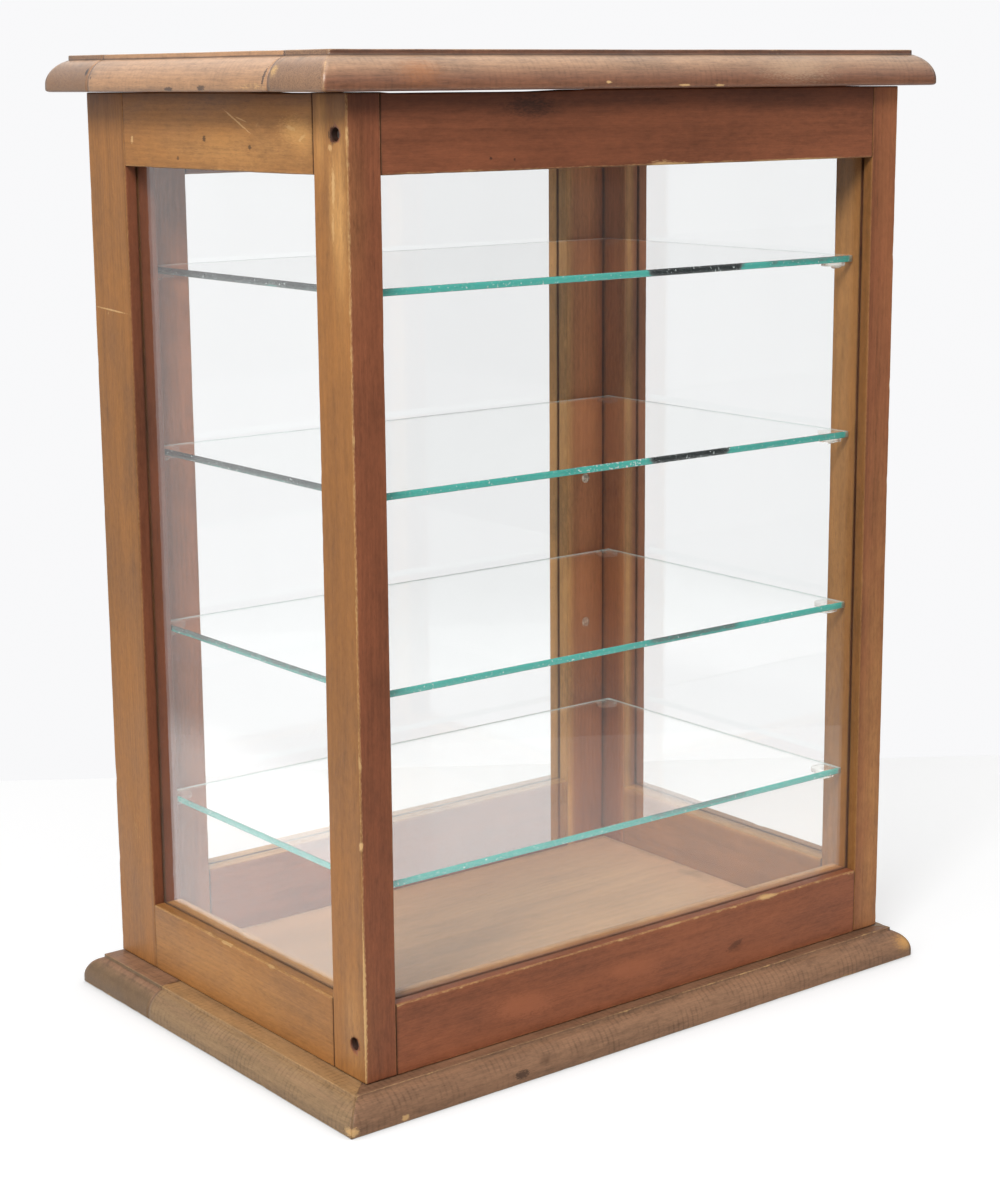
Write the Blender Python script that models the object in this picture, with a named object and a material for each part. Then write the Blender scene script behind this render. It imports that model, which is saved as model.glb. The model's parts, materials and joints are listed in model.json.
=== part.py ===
"""Countertop display case: a glazed wooden case with four glass shelves and a rear door.

Metres, +Z up. The origin is the middle of the footprint, on the surface that the case stands on.
The wide glazed front faces -Y, the door is at the back (+Y) and is hinged on the left (-X).
"""

import math

import bmesh
import bpy
from mathutils import Matrix, Vector

# Driving dimensions: the glazed body, between the base and the top
BODY_W = 0.453
BODY_D = 0.304
BODY_H = 0.600
WALL_T = 0.0235
FRONT_RAIL_T = 0.0235
FRONT_POST_D = 0.035
BACK_POST_D = 0.048
TOP_RAIL_H = 0.0474
BOTTOM_RAIL_H = 0.0468

# Driving dimensions: panes in their grooves
PANE_T = 0.0024
GROOVE_DEPTH = 0.006
FRONT_REVEAL = 0.0080
SIDE_REVEAL = 0.0080

# Driving dimensions: moulded base
BASE_T = 0.0213
BASE_OVER_SIDE = 0.021
BASE_OVER_FRONT = 0.016
BASE_SHIFT_LEFT = 0.0045
BASE_SHIFT_FRONT = 0.004
BASE_NOSE = 0.011
BASE_FILLET_H = 0.0027
BASE_PLINTH_H = 0.004
BASE_RAIL_W = 0.060
BASE_BACK_RAIL_W = 0.091

# Driving dimensions: moulded top
TOP_T = 0.0235
TOP_OVER_SIDE = 0.0236
TOP_OVER_FRONT = 0.0127
TOP_NOSE = 0.012
TOP_FILLET_H = 0.0033
TOP_LIP_H = 0.0035
TOP_RAIL_W = 0.058
TOP_PANEL_T = 0.012
TOP_PANEL_DROP = 0.0015
TOP_TONGUE_T = 0.005
TOP_TONGUE_L = 0.006
NOSE_STEP = 0.0006
NOSE_STEPS = 8

# Driving dimensions: shelves, their pegs and the floor
SHELF_COUNT = 4
SHELF_T = 0.0045
SHELF_LOWEST = 0.1185
SHELF_BELOW_TOP = 0.1161
SHELF_SIDE_GAP = 0.001
SHELF_FRONT_SETBACK = 0.0166
SHELF_BACK_GAP = 0.0065
PEG_R = 0.0025
PEG_DEPTH = 0.008
PEG_REACH = 0.016
PEG_PAD_W = 0.014
PEG_PAD_T = 0.003
PEG_FRONT_INSET = 0.007
PEG_BACK_INSET = 0.011
FLOOR_T = 0.0032
FLOOR_GAP = 0.0005

# Driving dimensions: rear door and its fittings
DOOR_T = 0.0235
DOOR_RECESS = 0.001
DOOR_STILE_W = 0.036
DOOR_RAIL_H = 0.052
DOOR_GAP_HINGE = 0.001
DOOR_GAP_KNOB = 0.002
DOOR_GAP_TOP = 0.003
DOOR_GAP_BOTTOM = 0.0015
HINGE_L = 0.050
HINGE_INSET = 0.060
HINGE_LEAF_W = 0.015
HINGE_LEAF_T = 0.0012
KNUCKLE_R = 0.003
HINGE_PIN_R = 0.0014
HINGE_TIP_R = 0.0026
HINGE_TIP_H = 0.0022
KNOB_R = 0.006
KNOB_NECK_R = 0.0034
KNOB_REACH = 0.0115
BOLT_R = 0.002
BOLT_HEAD_R = 0.0036
BOLT_HEAD_H = 0.0018
BOLT_IN_KNOB = 0.006

# Driving dimensions: joinery, screws and clearances
TENON_T = 0.008
TENON_L = 0.014
TENON_SHOULDER = 0.010
SCREW_R = 0.0017
SCREW_HEAD_R = 0.0030
SCREW_HEAD_H = 0.0022
SCREW_SINK = 0.006
SCREW_L = 0.040
FIT = 0.0003
ROUND_SIDES = 24
PEG_SIDES = 16
THROUGH = 0.002

# Places worked out from the driving dimensions
REACH_LEFT = max(TOP_OVER_SIDE, BASE_OVER_SIDE + BASE_SHIFT_LEFT)
REACH_RIGHT = max(TOP_OVER_SIDE, BASE_OVER_SIDE - BASE_SHIFT_LEFT)
REACH_FRONT = max(TOP_OVER_FRONT, BASE_OVER_FRONT + BASE_SHIFT_FRONT)
REACH_BACK = max(TOP_OVER_FRONT, BASE_OVER_FRONT - BASE_SHIFT_FRONT)
LEFT = (REACH_LEFT - REACH_RIGHT - BODY_W) / 2
RIGHT = LEFT + BODY_W
FRONT = (REACH_FRONT - REACH_BACK - BODY_D) / 2
BACK = FRONT + BODY_D
FLOOR = BASE_T
ROOF = BASE_T + BODY_H
INNER_LEFT = LEFT + WALL_T
INNER_RIGHT = RIGHT - WALL_T
POST_FRONT_END = FRONT + FRONT_POST_D
POST_BACK_START = BACK - BACK_POST_D
SILL = FLOOR + BOTTOM_RAIL_H
LINTEL = ROOF - TOP_RAIL_H
GROOVE_W = PANE_T + 2 * FIT
DOOR_OUTER = BACK - DOOR_RECESS
DOOR_INNER = DOOR_OUTER - DOOR_T
DOOR_LEFT = INNER_LEFT + DOOR_GAP_HINGE
DOOR_RIGHT = INNER_RIGHT - DOOR_GAP_KNOB
DOOR_BOTTOM = FLOOR + DOOR_GAP_BOTTOM
DOOR_TOP = ROOF - DOOR_GAP_TOP
HINGE_X = INNER_LEFT + DOOR_GAP_HINGE / 2
HINGE_Y = BACK + KNUCKLE_R + FIT
HINGE_LEAF_EDGE = BACK - FIT
SHELF_PITCH = (BODY_H - SHELF_BELOW_TOP - SHELF_LOWEST) / (SHELF_COUNT - 1)
PEG_FRONT_Y = POST_FRONT_END - PEG_FRONT_INSET
PEG_BACK_Y = POST_BACK_START + PEG_BACK_INSET


def srgb(red, green, blue):
    """Linear colour of an sRGB triple given in 0 to 255."""
    def linear(value):
        share = value / 255
        return share / 12.92 if share <= 0.04045 else ((share + 0.055) / 1.055) ** 2.4
    return (linear(red), linear(green), linear(blue), 1.0)


def make_material(name, colour, roughness, metallic=0.0, transmission=0.0):
    material = bpy.data.materials.new(name)
    material.use_nodes = True
    shader = material.node_tree.nodes["Principled BSDF"]
    shader.inputs["Base Color"].default_value = colour
    shader.inputs["Roughness"].default_value = roughness
    shader.inputs["Metallic"].default_value = metallic
    shader.inputs["Transmission Weight"].default_value = transmission
    material.diffuse_color = colour
    return material


def clear_scene():
    for item in list(bpy.data.objects):
        bpy.data.objects.remove(item, do_unlink=True)


# Solids

def object_from(name, bm):
    """A mesh object in world coordinates from a bmesh, with its faces pointing out."""
    bmesh.ops.recalc_face_normals(bm, faces=bm.faces)
    mesh = bpy.data.meshes.new(name)
    bm.to_mesh(mesh)
    bm.free()
    item = bpy.data.objects.new(name, mesh)
    bpy.context.scene.collection.objects.link(item)
    return item


def add_box(bm, x, y, z):
    size = Vector((x[1] - x[0], y[1] - y[0], z[1] - z[0]))
    middle = Vector((x[0] + x[1], y[0] + y[1], z[0] + z[1])) / 2
    place = Matrix.Translation(middle) @ Matrix.Diagonal(size.to_4d())
    bmesh.ops.create_cube(bm, size=1.0, matrix=place)


def box(name, x, y, z):
    bm = bmesh.new()
    add_box(bm, x, y, z)
    return object_from(name, bm)


def prism(name, outline, z):
    """An upright prism over an outline of (x, y) points."""
    bm = bmesh.new()
    low = [bm.verts.new((px, py, z[0])) for px, py in outline]
    high = [bm.verts.new((px, py, z[1])) for px, py in outline]
    count = len(outline)
    bm.faces.new(low)
    bm.faces.new(high)
    for i in range(count):
        j = (i + 1) % count
        bm.faces.new((low[i], low[j], high[j], high[i]))
    return object_from(name, bm)


def add_turned(bm, profile, origin, direction, sides):
    """Add a solid of revolution: profile of (distance along direction, radius), closed at both ends."""
    turn = Vector((0, 0, 1)).rotation_difference(Vector(direction)).to_matrix().to_4x4()
    place = Matrix.Translation(Vector(origin)) @ turn
    rings = []
    for along, radius in profile:
        ring = []
        for i in range(sides):
            angle = 2 * math.pi * i / sides
            point = Vector((radius * math.cos(angle), radius * math.sin(angle), along))
            ring.append(bm.verts.new(place @ point))
        rings.append(ring)
    for lower, upper in zip(rings, rings[1:]):
        for i in range(sides):
            j = (i + 1) % sides
            bm.faces.new((lower[i], lower[j], upper[j], upper[i]))
    bm.faces.new(rings[0])
    bm.faces.new(rings[-1])


def turned(name, profile, origin, direction, sides=ROUND_SIDES):
    bm = bmesh.new()
    add_turned(bm, profile, origin, direction, sides)
    return object_from(name, bm)


def rod(name, origin, direction, length, radius, sides=ROUND_SIDES):
    return turned(name, [(0, radius), (length, radius)], origin, direction, sides)


def combine(target, tool, operation):
    """Apply one Boolean to the target and remove the tool."""
    modifier = target.modifiers.new(operation.lower(), "BOOLEAN")
    modifier.operation = operation
    modifier.solver = "EXACT"
    modifier.object = tool
    graph = bpy.context.evaluated_depsgraph_get()
    result = bpy.data.meshes.new_from_object(target.evaluated_get(graph))
    target.modifiers.clear()
    target.data = result
    result.name = target.name
    bpy.data.objects.remove(tool, do_unlink=True)
    return target


def cut_box(target, x, y, z):
    return combine(target, box("cutter", x, y, z), "DIFFERENCE")


def cut_bore(target, origin, direction, length, radius, sides=ROUND_SIDES):
    return combine(target, rod("cutter", origin, direction, length, radius, sides), "DIFFERENCE")


def finish(item, material, parent=None, smooth=False):
    """Put the origin in the middle of the piece, colour it and hang it under its parent."""
    corners = [Vector(corner) for corner in item.bound_box]
    middle = sum(corners, Vector()) / len(corners)
    item.data.transform(Matrix.Translation(-middle))
    item.location = middle
    if parent is not None:
        item.parent = parent
        item.location = middle - parent.location
    item.data.materials.clear()
    item.data.materials.append(material)
    if smooth:
        item.data.shade_smooth()
        item.data.set_sharp_from_angle(angle=math.radians(35))
    return item


def empty(name, location):
    item = bpy.data.objects.new(name, None)
    item.location = Vector(location)
    bpy.context.scene.collection.objects.link(item)
    return item


def grown(span, by):
    return (span[0] - by, span[1] + by)


def about(middle, width):
    return (middle - width / 2, middle + width / 2)


def tenon_height(height):
    return (height[0] + TENON_SHOULDER, height[1] - TENON_SHOULDER)


# Front and side frames

FRONT_RAIL_Y = (FRONT, FRONT + FRONT_RAIL_T)
FRONT_TENON_Y = about(FRONT + FRONT_RAIL_T / 2, TENON_T)
FRONT_GROOVE_Y = (FRONT + FRONT_REVEAL, FRONT + FRONT_REVEAL + GROOVE_W)
BODY_LEVELS = {
    "top": (LINTEL, ROOF - FIT),
    "bottom": (FLOOR + FIT, SILL),
}
GLASS_Z = (SILL - GROOVE_DEPTH, LINTEL + GROOVE_DEPTH)


def wall_x(side, depth):
    """X of a place that lies a given depth inside the left (-1) or right (1) outer face."""
    return LEFT + depth if side < 0 else RIGHT - depth


def across_wall(side, start, end):
    return tuple(sorted((wall_x(side, start), wall_x(side, end))))


def shelf_bottom(index):
    """Underside of a shelf, counted from the lowest."""
    return FLOOR + SHELF_LOWEST + index * SHELF_PITCH - SHELF_T / 2


def peg_level(index):
    return shelf_bottom(index) - FIT - PEG_R


def drill_peg_holes(post, side, y):
    """One cutter with a pin for each shelf's hole."""
    bm = bmesh.new()
    hole = [(0, PEG_R + FIT), (PEG_DEPTH + FIT + THROUGH, PEG_R + FIT)]
    for index in range(SHELF_COUNT):
        face = (wall_x(side, WALL_T + THROUGH), y, peg_level(index))
        add_turned(bm, hole, face, (side, 0, 0), PEG_SIDES)
    return combine(post, object_from("cutter", bm), "DIFFERENCE")


def make_front_post(name, side, wood):
    post = box(name, across_wall(side, 0, WALL_T), (FRONT, POST_FRONT_END), (FLOOR + FIT, ROOF - FIT))
    cut_box(post, across_wall(side, WALL_T - GROOVE_DEPTH, WALL_T + THROUGH), FRONT_GROOVE_Y, GLASS_Z)
    side_groove = across_wall(side, SIDE_REVEAL, SIDE_REVEAL + GROOVE_W)
    cut_box(post, side_groove, (POST_FRONT_END - GROOVE_DEPTH, POST_FRONT_END + THROUGH), GLASS_Z)
    for height in BODY_LEVELS.values():
        tenon_z = grown(tenon_height(height), FIT)
        front_x = across_wall(side, WALL_T - TENON_L, WALL_T + THROUGH)
        cut_box(post, front_x, grown(FRONT_TENON_Y, FIT), tenon_z)
        side_x = grown(about(wall_x(side, WALL_T / 2), TENON_T), FIT)
        cut_box(post, side_x, (POST_FRONT_END - TENON_L, POST_FRONT_END + THROUGH), tenon_z)
        screw_y = FRONT + FRONT_RAIL_T / 2
        screw_z = sum(height) / 2
        outside = (wall_x(side, -THROUGH), screw_y, screw_z)
        sink = THROUGH + SCREW_SINK
        hole = [(0, SCREW_HEAD_R + FIT), (sink, SCREW_HEAD_R + FIT)]
        hole += [(sink, SCREW_R + FIT), (WALL_T + 2 * THROUGH, SCREW_R + FIT)]
        combine(post, turned("cutter", hole, outside, (-side, 0, 0)), "DIFFERENCE")
    drill_peg_holes(post, side, PEG_FRONT_Y)
    return finish(post, wood)


def make_back_post(name, side, wood):
    post = box(name, across_wall(side, 0, WALL_T), (POST_BACK_START, BACK), (FLOOR + FIT, ROOF - FIT))
    side_groove = across_wall(side, SIDE_REVEAL, SIDE_REVEAL + GROOVE_W)
    cut_box(post, side_groove, (POST_BACK_START - THROUGH, POST_BACK_START + GROOVE_DEPTH), GLASS_Z)
    for height in BODY_LEVELS.values():
        side_x = grown(about(wall_x(side, WALL_T / 2), TENON_T), FIT)
        side_y = (POST_BACK_START - THROUGH, POST_BACK_START + TENON_L)
        cut_box(post, side_x, side_y, grown(tenon_height(height), FIT))
    drill_peg_holes(post, side, PEG_BACK_Y)
    if side < 0:
        for middle in hinge_levels():
            leaf_x = (INNER_LEFT - HINGE_LEAF_T - FIT, INNER_LEFT + THROUGH)
            leaf_y = (HINGE_LEAF_EDGE - HINGE_LEAF_W - FIT, BACK + THROUGH)
            cut_box(post, leaf_x, leaf_y, grown(about(middle, HINGE_L), FIT))
    return finish(post, wood)


def groove_height(level, height):
    """The groove is in the edge of the rail that faces the pane."""
    if level == "top":
        return (height[0] - THROUGH, height[0] + GROOVE_DEPTH)
    return (height[1] - GROOVE_DEPTH, height[1] + THROUGH)


def make_front_rail(name, level, wood):
    height = BODY_LEVELS[level]
    rail_x = (INNER_LEFT + FIT, INNER_RIGHT - FIT)
    rail = box(name, rail_x, FRONT_RAIL_Y, height)
    tenon = box("tenon", grown(rail_x, TENON_L - 2 * FIT), FRONT_TENON_Y, tenon_height(height))
    combine(rail, tenon, "UNION")
    cut_box(rail, grown(rail_x, THROUGH), FRONT_GROOVE_Y, groove_height(level, height))
    for side in (-1, 1):
        start = (wall_x(side, 0), FRONT + FRONT_RAIL_T / 2, sum(height) / 2)
        cut_bore(rail, start, (-side, 0, 0), SCREW_SINK + SCREW_L + FIT, SCREW_R + FIT)
    return finish(rail, wood)


def make_side_rail(name, side, level, wood):
    height = BODY_LEVELS[level]
    rail_y = (POST_FRONT_END + FIT, POST_BACK_START - FIT)
    rail = box(name, across_wall(side, 0, WALL_T), rail_y, height)
    tenon_x = about(wall_x(side, WALL_T / 2), TENON_T)
    tenon = box("tenon", tenon_x, grown(rail_y, TENON_L - 2 * FIT), tenon_height(height))
    combine(rail, tenon, "UNION")
    side_groove = across_wall(side, SIDE_REVEAL, SIDE_REVEAL + GROOVE_W)
    cut_box(rail, side_groove, grown(rail_y, THROUGH), groove_height(level, height))
    return finish(rail, wood)


def make_front_pane(glass):
    pane_x = grown((INNER_LEFT, INNER_RIGHT), GROOVE_DEPTH - FIT)
    pane = box("front_pane", pane_x, grown(FRONT_GROOVE_Y, -FIT), grown(GLASS_Z, -FIT))
    return finish(pane, glass)


def make_side_pane(name, side, glass):
    pane_x = grown(across_wall(side, SIDE_REVEAL, SIDE_REVEAL + GROOVE_W), -FIT)
    pane_y = grown((POST_FRONT_END, POST_BACK_START), GROOVE_DEPTH - FIT)
    return finish(box(name, pane_x, pane_y, grown(GLASS_Z, -FIT)), glass)


def make_post_screw(name, side, level, metal):
    height = BODY_LEVELS[level]
    start = (wall_x(side, SCREW_SINK), FRONT + FRONT_RAIL_T / 2, sum(height) / 2)
    profile = [
        (-SCREW_HEAD_H - FIT, SCREW_HEAD_R),
        (-FIT, SCREW_HEAD_R),
        (-FIT, SCREW_R),
        (SCREW_L - 2 * SCREW_R, SCREW_R),
        (SCREW_L, SCREW_R / 4),
    ]
    return finish(turned(name, profile, start, (-side, 0, 0)), metal, smooth=True)


# Shelves, pegs and floor

def make_shelf(name, index, glass):
    shelf_x = (INNER_LEFT + SHELF_SIDE_GAP, INNER_RIGHT - SHELF_SIDE_GAP)
    shelf_y = (FRONT + SHELF_FRONT_SETBACK, DOOR_INNER - SHELF_BACK_GAP)
    bottom = shelf_bottom(index)
    return finish(box(name, shelf_x, shelf_y, (bottom, bottom + SHELF_T)), glass)


def make_peg(name, side, y, index, plastic):
    """A clear spoon peg: a round pin in the post and a round-ended pad under the shelf."""
    level = peg_level(index)
    face = wall_x(side, WALL_T + FIT)
    reach = -side * (PEG_REACH - PEG_PAD_W / 2)
    outline = [(face, y - PEG_PAD_W / 2)]
    for step in range(PEG_SIDES // 2 + 1):
        angle = math.pi * (step / (PEG_SIDES // 2) - 0.5)
        tip_x = face + reach - side * PEG_PAD_W / 2 * math.cos(angle)
        outline.append((tip_x, y + PEG_PAD_W / 2 * math.sin(angle)))
    outline.append((face, y + PEG_PAD_W / 2))
    top = level + PEG_R
    peg = prism(name, outline, (top - PEG_PAD_T, top))
    pin_start = (wall_x(side, WALL_T - PEG_DEPTH), y, level)
    pin_length = PEG_DEPTH + PEG_REACH / 2
    combine(peg, rod("pin", pin_start, (-side, 0, 0), pin_length, PEG_R - FIT / 2, PEG_SIDES), "UNION")
    return finish(peg, plastic)


def make_floor_board(wood):
    floor_x = (INNER_LEFT + FLOOR_GAP, INNER_RIGHT - FLOOR_GAP)
    floor_y = (FRONT + FRONT_RAIL_T + FLOOR_GAP, DOOR_INNER - FLOOR_GAP)
    return finish(box("floor_board", floor_x, floor_y, (FLOOR + FIT, FLOOR + FIT + FLOOR_T)), wood)


# Moulded base and top

def nose_arc(low, high, depth):
    """Points (height, inset) of a convex nose that leaves the lower point upright."""
    rise = high - low
    radius = (rise * rise + depth * depth) / (2 * depth)
    points = []
    for step in range(NOSE_STEPS + 1):
        height = rise * step / NOSE_STEPS
        points.append((low + height, radius - math.sqrt(radius * radius - height * height)))
    return points


def moulded_plate(name, x, y, bottom, profile):
    """A rectangular plate whose four edges follow a profile of (height, inset)."""
    bm = bmesh.new()
    loops = []
    for height, inset in profile:
        left, right = grown(x, -inset)
        front, back = grown(y, -inset)
        corners = [(left, front), (right, front), (right, back), (left, back)]
        loops.append([bm.verts.new((px, py, bottom + height)) for px, py in corners])
    for lower, upper in zip(loops, loops[1:]):
        for i in range(4):
            j = (i + 1) % 4
            bm.faces.new((lower[i], lower[j], upper[j], upper[i]))
    bm.faces.new(loops[0])
    bm.faces.new(loops[-1])
    return object_from(name, bm)


def moulded_rail(name, plate, outline):
    """One rail of a moulded frame: the part of the plate that stands over an outline."""
    bottom, thickness = plate["bottom"], plate["thickness"]
    rail = moulded_plate(name, plate["x"], plate["y"], bottom, plate["profile"])
    region = prism("region", outline, (bottom - THROUGH, bottom + thickness + THROUGH))
    return combine(rail, region, "INTERSECT")


def rectangle(x, y):
    return [(x[0], y[0]), (x[1], y[0]), (x[1], y[1]), (x[0], y[1])]


def make_base(wood):
    """Four rails: the back one runs full width, and the front corners are mitred."""
    x = (LEFT - BASE_OVER_SIDE - BASE_SHIFT_LEFT, RIGHT + BASE_OVER_SIDE - BASE_SHIFT_LEFT)
    y = (FRONT - BASE_OVER_FRONT - BASE_SHIFT_FRONT, BACK + BASE_OVER_FRONT - BASE_SHIFT_FRONT)
    nose = nose_arc(BASE_PLINTH_H, BASE_T - BASE_FILLET_H, BASE_NOSE - NOSE_STEP)
    profile = [(0, 0)] + nose + [(BASE_T - BASE_FILLET_H, BASE_NOSE), (BASE_T, BASE_NOSE)]
    plate = {"x": x, "y": y, "bottom": 0, "thickness": BASE_T, "profile": profile}
    out_x, out_y = grown(x, THROUGH), grown(y, THROUGH)
    in_x, in_y = grown(x, -BASE_RAIL_W), (y[0] + BASE_RAIL_W, y[1] - BASE_BACK_RAIL_W)
    slack = FIT / math.sqrt(2)
    front = [(out_x[0] + slack, out_y[0]), (out_x[1] - slack, out_y[0])]
    front += [(in_x[1] - slack, in_y[0]), (in_x[0] + slack, in_y[0])]
    left = [(out_x[0], out_y[0] + slack), (in_x[0], in_y[0] + slack)]
    left += [(in_x[0], in_y[1] - FIT), (out_x[0], in_y[1] - FIT)]
    right = [(in_x[1], in_y[0] + slack), (out_x[1], out_y[0] + slack)]
    right += [(out_x[1], in_y[1] - FIT), (in_x[1], in_y[1] - FIT)]
    back = rectangle(out_x, (in_y[1], out_y[1]))
    outlines = {"front": front, "left": left, "right": right, "back": back}
    for place, outline in outlines.items():
        finish(moulded_rail(f"base_{place}_rail", plate, outline), wood, smooth=True)


def make_top(wood, panel_wood):
    """Front and back rails run full width, side rails stand between them, a panel fills the frame."""
    x = (LEFT - TOP_OVER_SIDE, RIGHT + TOP_OVER_SIDE)
    y = (FRONT - TOP_OVER_FRONT, BACK + TOP_OVER_FRONT)
    nose = nose_arc(TOP_LIP_H, TOP_T - TOP_FILLET_H, TOP_NOSE - NOSE_STEP)
    lip = [(0, TOP_LIP_H / 2), (TOP_LIP_H / 6, TOP_LIP_H / 6), (TOP_LIP_H / 2, 0)]
    profile = lip + nose + [(TOP_T - TOP_FILLET_H, TOP_NOSE), (TOP_T, TOP_NOSE)]
    plate = {"x": x, "y": y, "bottom": ROOF, "thickness": TOP_T, "profile": profile}
    out_x, out_y = grown(x, THROUGH), grown(y, THROUGH)
    in_x, in_y = grown(x, -TOP_RAIL_W), grown(y, -TOP_RAIL_W)
    outlines = {
        "front": rectangle(out_x, (out_y[0], in_y[0])),
        "back": rectangle(out_x, (in_y[1], out_y[1])),
        "left": rectangle((out_x[0], in_x[0]), grown(in_y, -FIT)),
        "right": rectangle((in_x[1], out_x[1]), grown(in_y, -FIT)),
    }
    panel_top = ROOF + TOP_T - TOP_PANEL_DROP
    panel_z = (panel_top - TOP_PANEL_T, panel_top)
    tongue_z = about(sum(panel_z) / 2, TOP_TONGUE_T)
    for place, outline in outlines.items():
        rail = moulded_rail(f"top_{place}_rail", plate, outline)
        cut_box(rail, grown(in_x, TOP_TONGUE_L), grown(in_y, TOP_TONGUE_L), grown(tongue_z, FIT))
        finish(rail, wood, smooth=True)
    panel = box("top_panel", grown(in_x, -FIT), grown(in_y, -FIT), panel_z)
    tongue_reach = TOP_TONGUE_L - FIT
    tongue = box("tongue", grown(in_x, tongue_reach), grown(in_y, tongue_reach), tongue_z)
    finish(combine(panel, tongue, "UNION"), panel_wood)


# Rear door

DOOR_Y = (DOOR_INNER, DOOR_OUTER)
DOOR_MIDDLE_Y = (DOOR_INNER + DOOR_OUTER) / 2
DOOR_GROOVE_Y = about(DOOR_MIDDLE_Y, GROOVE_W)
DOOR_TENON_Y = about(DOOR_MIDDLE_Y, TENON_T)
DOOR_LEVELS = {
    "top": (DOOR_TOP - DOOR_RAIL_H, DOOR_TOP),
    "bottom": (DOOR_BOTTOM, DOOR_BOTTOM + DOOR_RAIL_H),
}
DOOR_OPEN_X = (DOOR_LEFT + DOOR_STILE_W, DOOR_RIGHT - DOOR_STILE_W)
DOOR_OPEN_Z = (DOOR_BOTTOM + DOOR_RAIL_H, DOOR_TOP - DOOR_RAIL_H)
KNOB_X = DOOR_RIGHT - DOOR_STILE_W / 2
KNOB_Z = FLOOR + BODY_H / 2


def hinge_levels():
    reach = HINGE_INSET + HINGE_L / 2
    return (DOOR_BOTTOM + reach, DOOR_TOP - reach)


def make_door_stile(name, side, wood, parent):
    if side < 0:
        stile_x = (DOOR_LEFT, DOOR_OPEN_X[0])
        groove_x = (stile_x[1] - GROOVE_DEPTH, stile_x[1] + THROUGH)
        mortise_x = (stile_x[1] - TENON_L, stile_x[1] + THROUGH)
    else:
        stile_x = (DOOR_OPEN_X[1], DOOR_RIGHT)
        groove_x = (stile_x[0] - THROUGH, stile_x[0] + GROOVE_DEPTH)
        mortise_x = (stile_x[0] - THROUGH, stile_x[0] + TENON_L)
    stile = box(name, stile_x, DOOR_Y, (DOOR_BOTTOM, DOOR_TOP))
    cut_box(stile, groove_x, DOOR_GROOVE_Y, grown(DOOR_OPEN_Z, GROOVE_DEPTH))
    for height in DOOR_LEVELS.values():
        cut_box(stile, mortise_x, grown(DOOR_TENON_Y, FIT), grown(tenon_height(height), FIT))
    if side < 0:
        for middle in hinge_levels():
            leaf_x = (DOOR_LEFT - THROUGH, DOOR_LEFT + HINGE_LEAF_T + FIT)
            leaf_y = (HINGE_LEAF_EDGE - HINGE_LEAF_W - FIT, BACK + THROUGH)
            cut_box(stile, leaf_x, leaf_y, grown(about(middle, HINGE_L), FIT))
    else:
        start = (KNOB_X, DOOR_INNER - THROUGH, KNOB_Z)
        cut_bore(stile, start, (0, 1, 0), DOOR_T + 2 * THROUGH, BOLT_R + FIT)
    return finish(stile, wood, parent)


def make_door_rail(name, level, wood, parent):
    height = DOOR_LEVELS[level]
    rail_x = grown(DOOR_OPEN_X, -FIT)
    rail = box(name, rail_x, DOOR_Y, height)
    tenon = box("tenon", grown(rail_x, TENON_L - 2 * FIT), DOOR_TENON_Y, tenon_height(height))
    combine(rail, tenon, "UNION")
    cut_box(rail, grown(rail_x, THROUGH), DOOR_GROOVE_Y, groove_height(level, height))
    return finish(rail, wood, parent)


def make_door_pane(glass, parent):
    pane_x = grown(DOOR_OPEN_X, GROOVE_DEPTH - FIT)
    pane_z = grown(DOOR_OPEN_Z, GROOVE_DEPTH - FIT)
    return finish(box("door_pane", pane_x, grown(DOOR_GROOVE_Y, -FIT), pane_z), glass, parent)


def knuckle_spans(middle):
    """Heights of the three knuckles: two on the post leaf, the middle one on the door leaf."""
    third = HINGE_L / 3
    low = middle - HINGE_L / 2
    return [(low + i * third + FIT / 2, low + (i + 1) * third - FIT / 2) for i in range(3)]


def make_hinge_leaf(name, plate_x, middle, own, metal, parent=None):
    """A brass leaf let into the wood, with its own knuckles round the pin."""
    plate_y = (HINGE_LEAF_EDGE - HINGE_LEAF_W, HINGE_LEAF_EDGE)
    leaf = box(name, plate_x, plate_y, about(middle, HINGE_L))
    for index, span in enumerate(knuckle_spans(middle)):
        if index in own:
            tab = box("tab", plate_x, (HINGE_LEAF_EDGE - HINGE_LEAF_W / 2, HINGE_Y), span)
            combine(leaf, tab, "UNION")
            start = (HINGE_X, HINGE_Y, span[0])
            combine(leaf, rod("knuckle", start, (0, 0, 1), span[1] - span[0], KNUCKLE_R), "UNION")
    bore_start = (HINGE_X, HINGE_Y, middle - HINGE_L / 2 - THROUGH)
    cut_bore(leaf, bore_start, (0, 0, 1), HINGE_L + 2 * THROUGH, HINGE_PIN_R + FIT)
    return finish(leaf, metal, parent, smooth=True)


def make_hinge_pin(name, middle, metal):
    half = HINGE_L / 2
    profile = [
        (-half - FIT - HINGE_TIP_H, HINGE_TIP_R / 2),
        (-half - FIT - HINGE_TIP_H / 2, HINGE_TIP_R),
        (-half - FIT, HINGE_TIP_R),
        (-half - FIT, HINGE_PIN_R),
        (half + FIT, HINGE_PIN_R),
        (half + FIT, HINGE_TIP_R),
        (half + FIT + HINGE_TIP_H / 2, HINGE_TIP_R),
        (half + FIT + HINGE_TIP_H, HINGE_TIP_R / 2),
    ]
    return finish(turned(name, profile, (HINGE_X, HINGE_Y, middle), (0, 0, 1)), metal, smooth=True)


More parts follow.
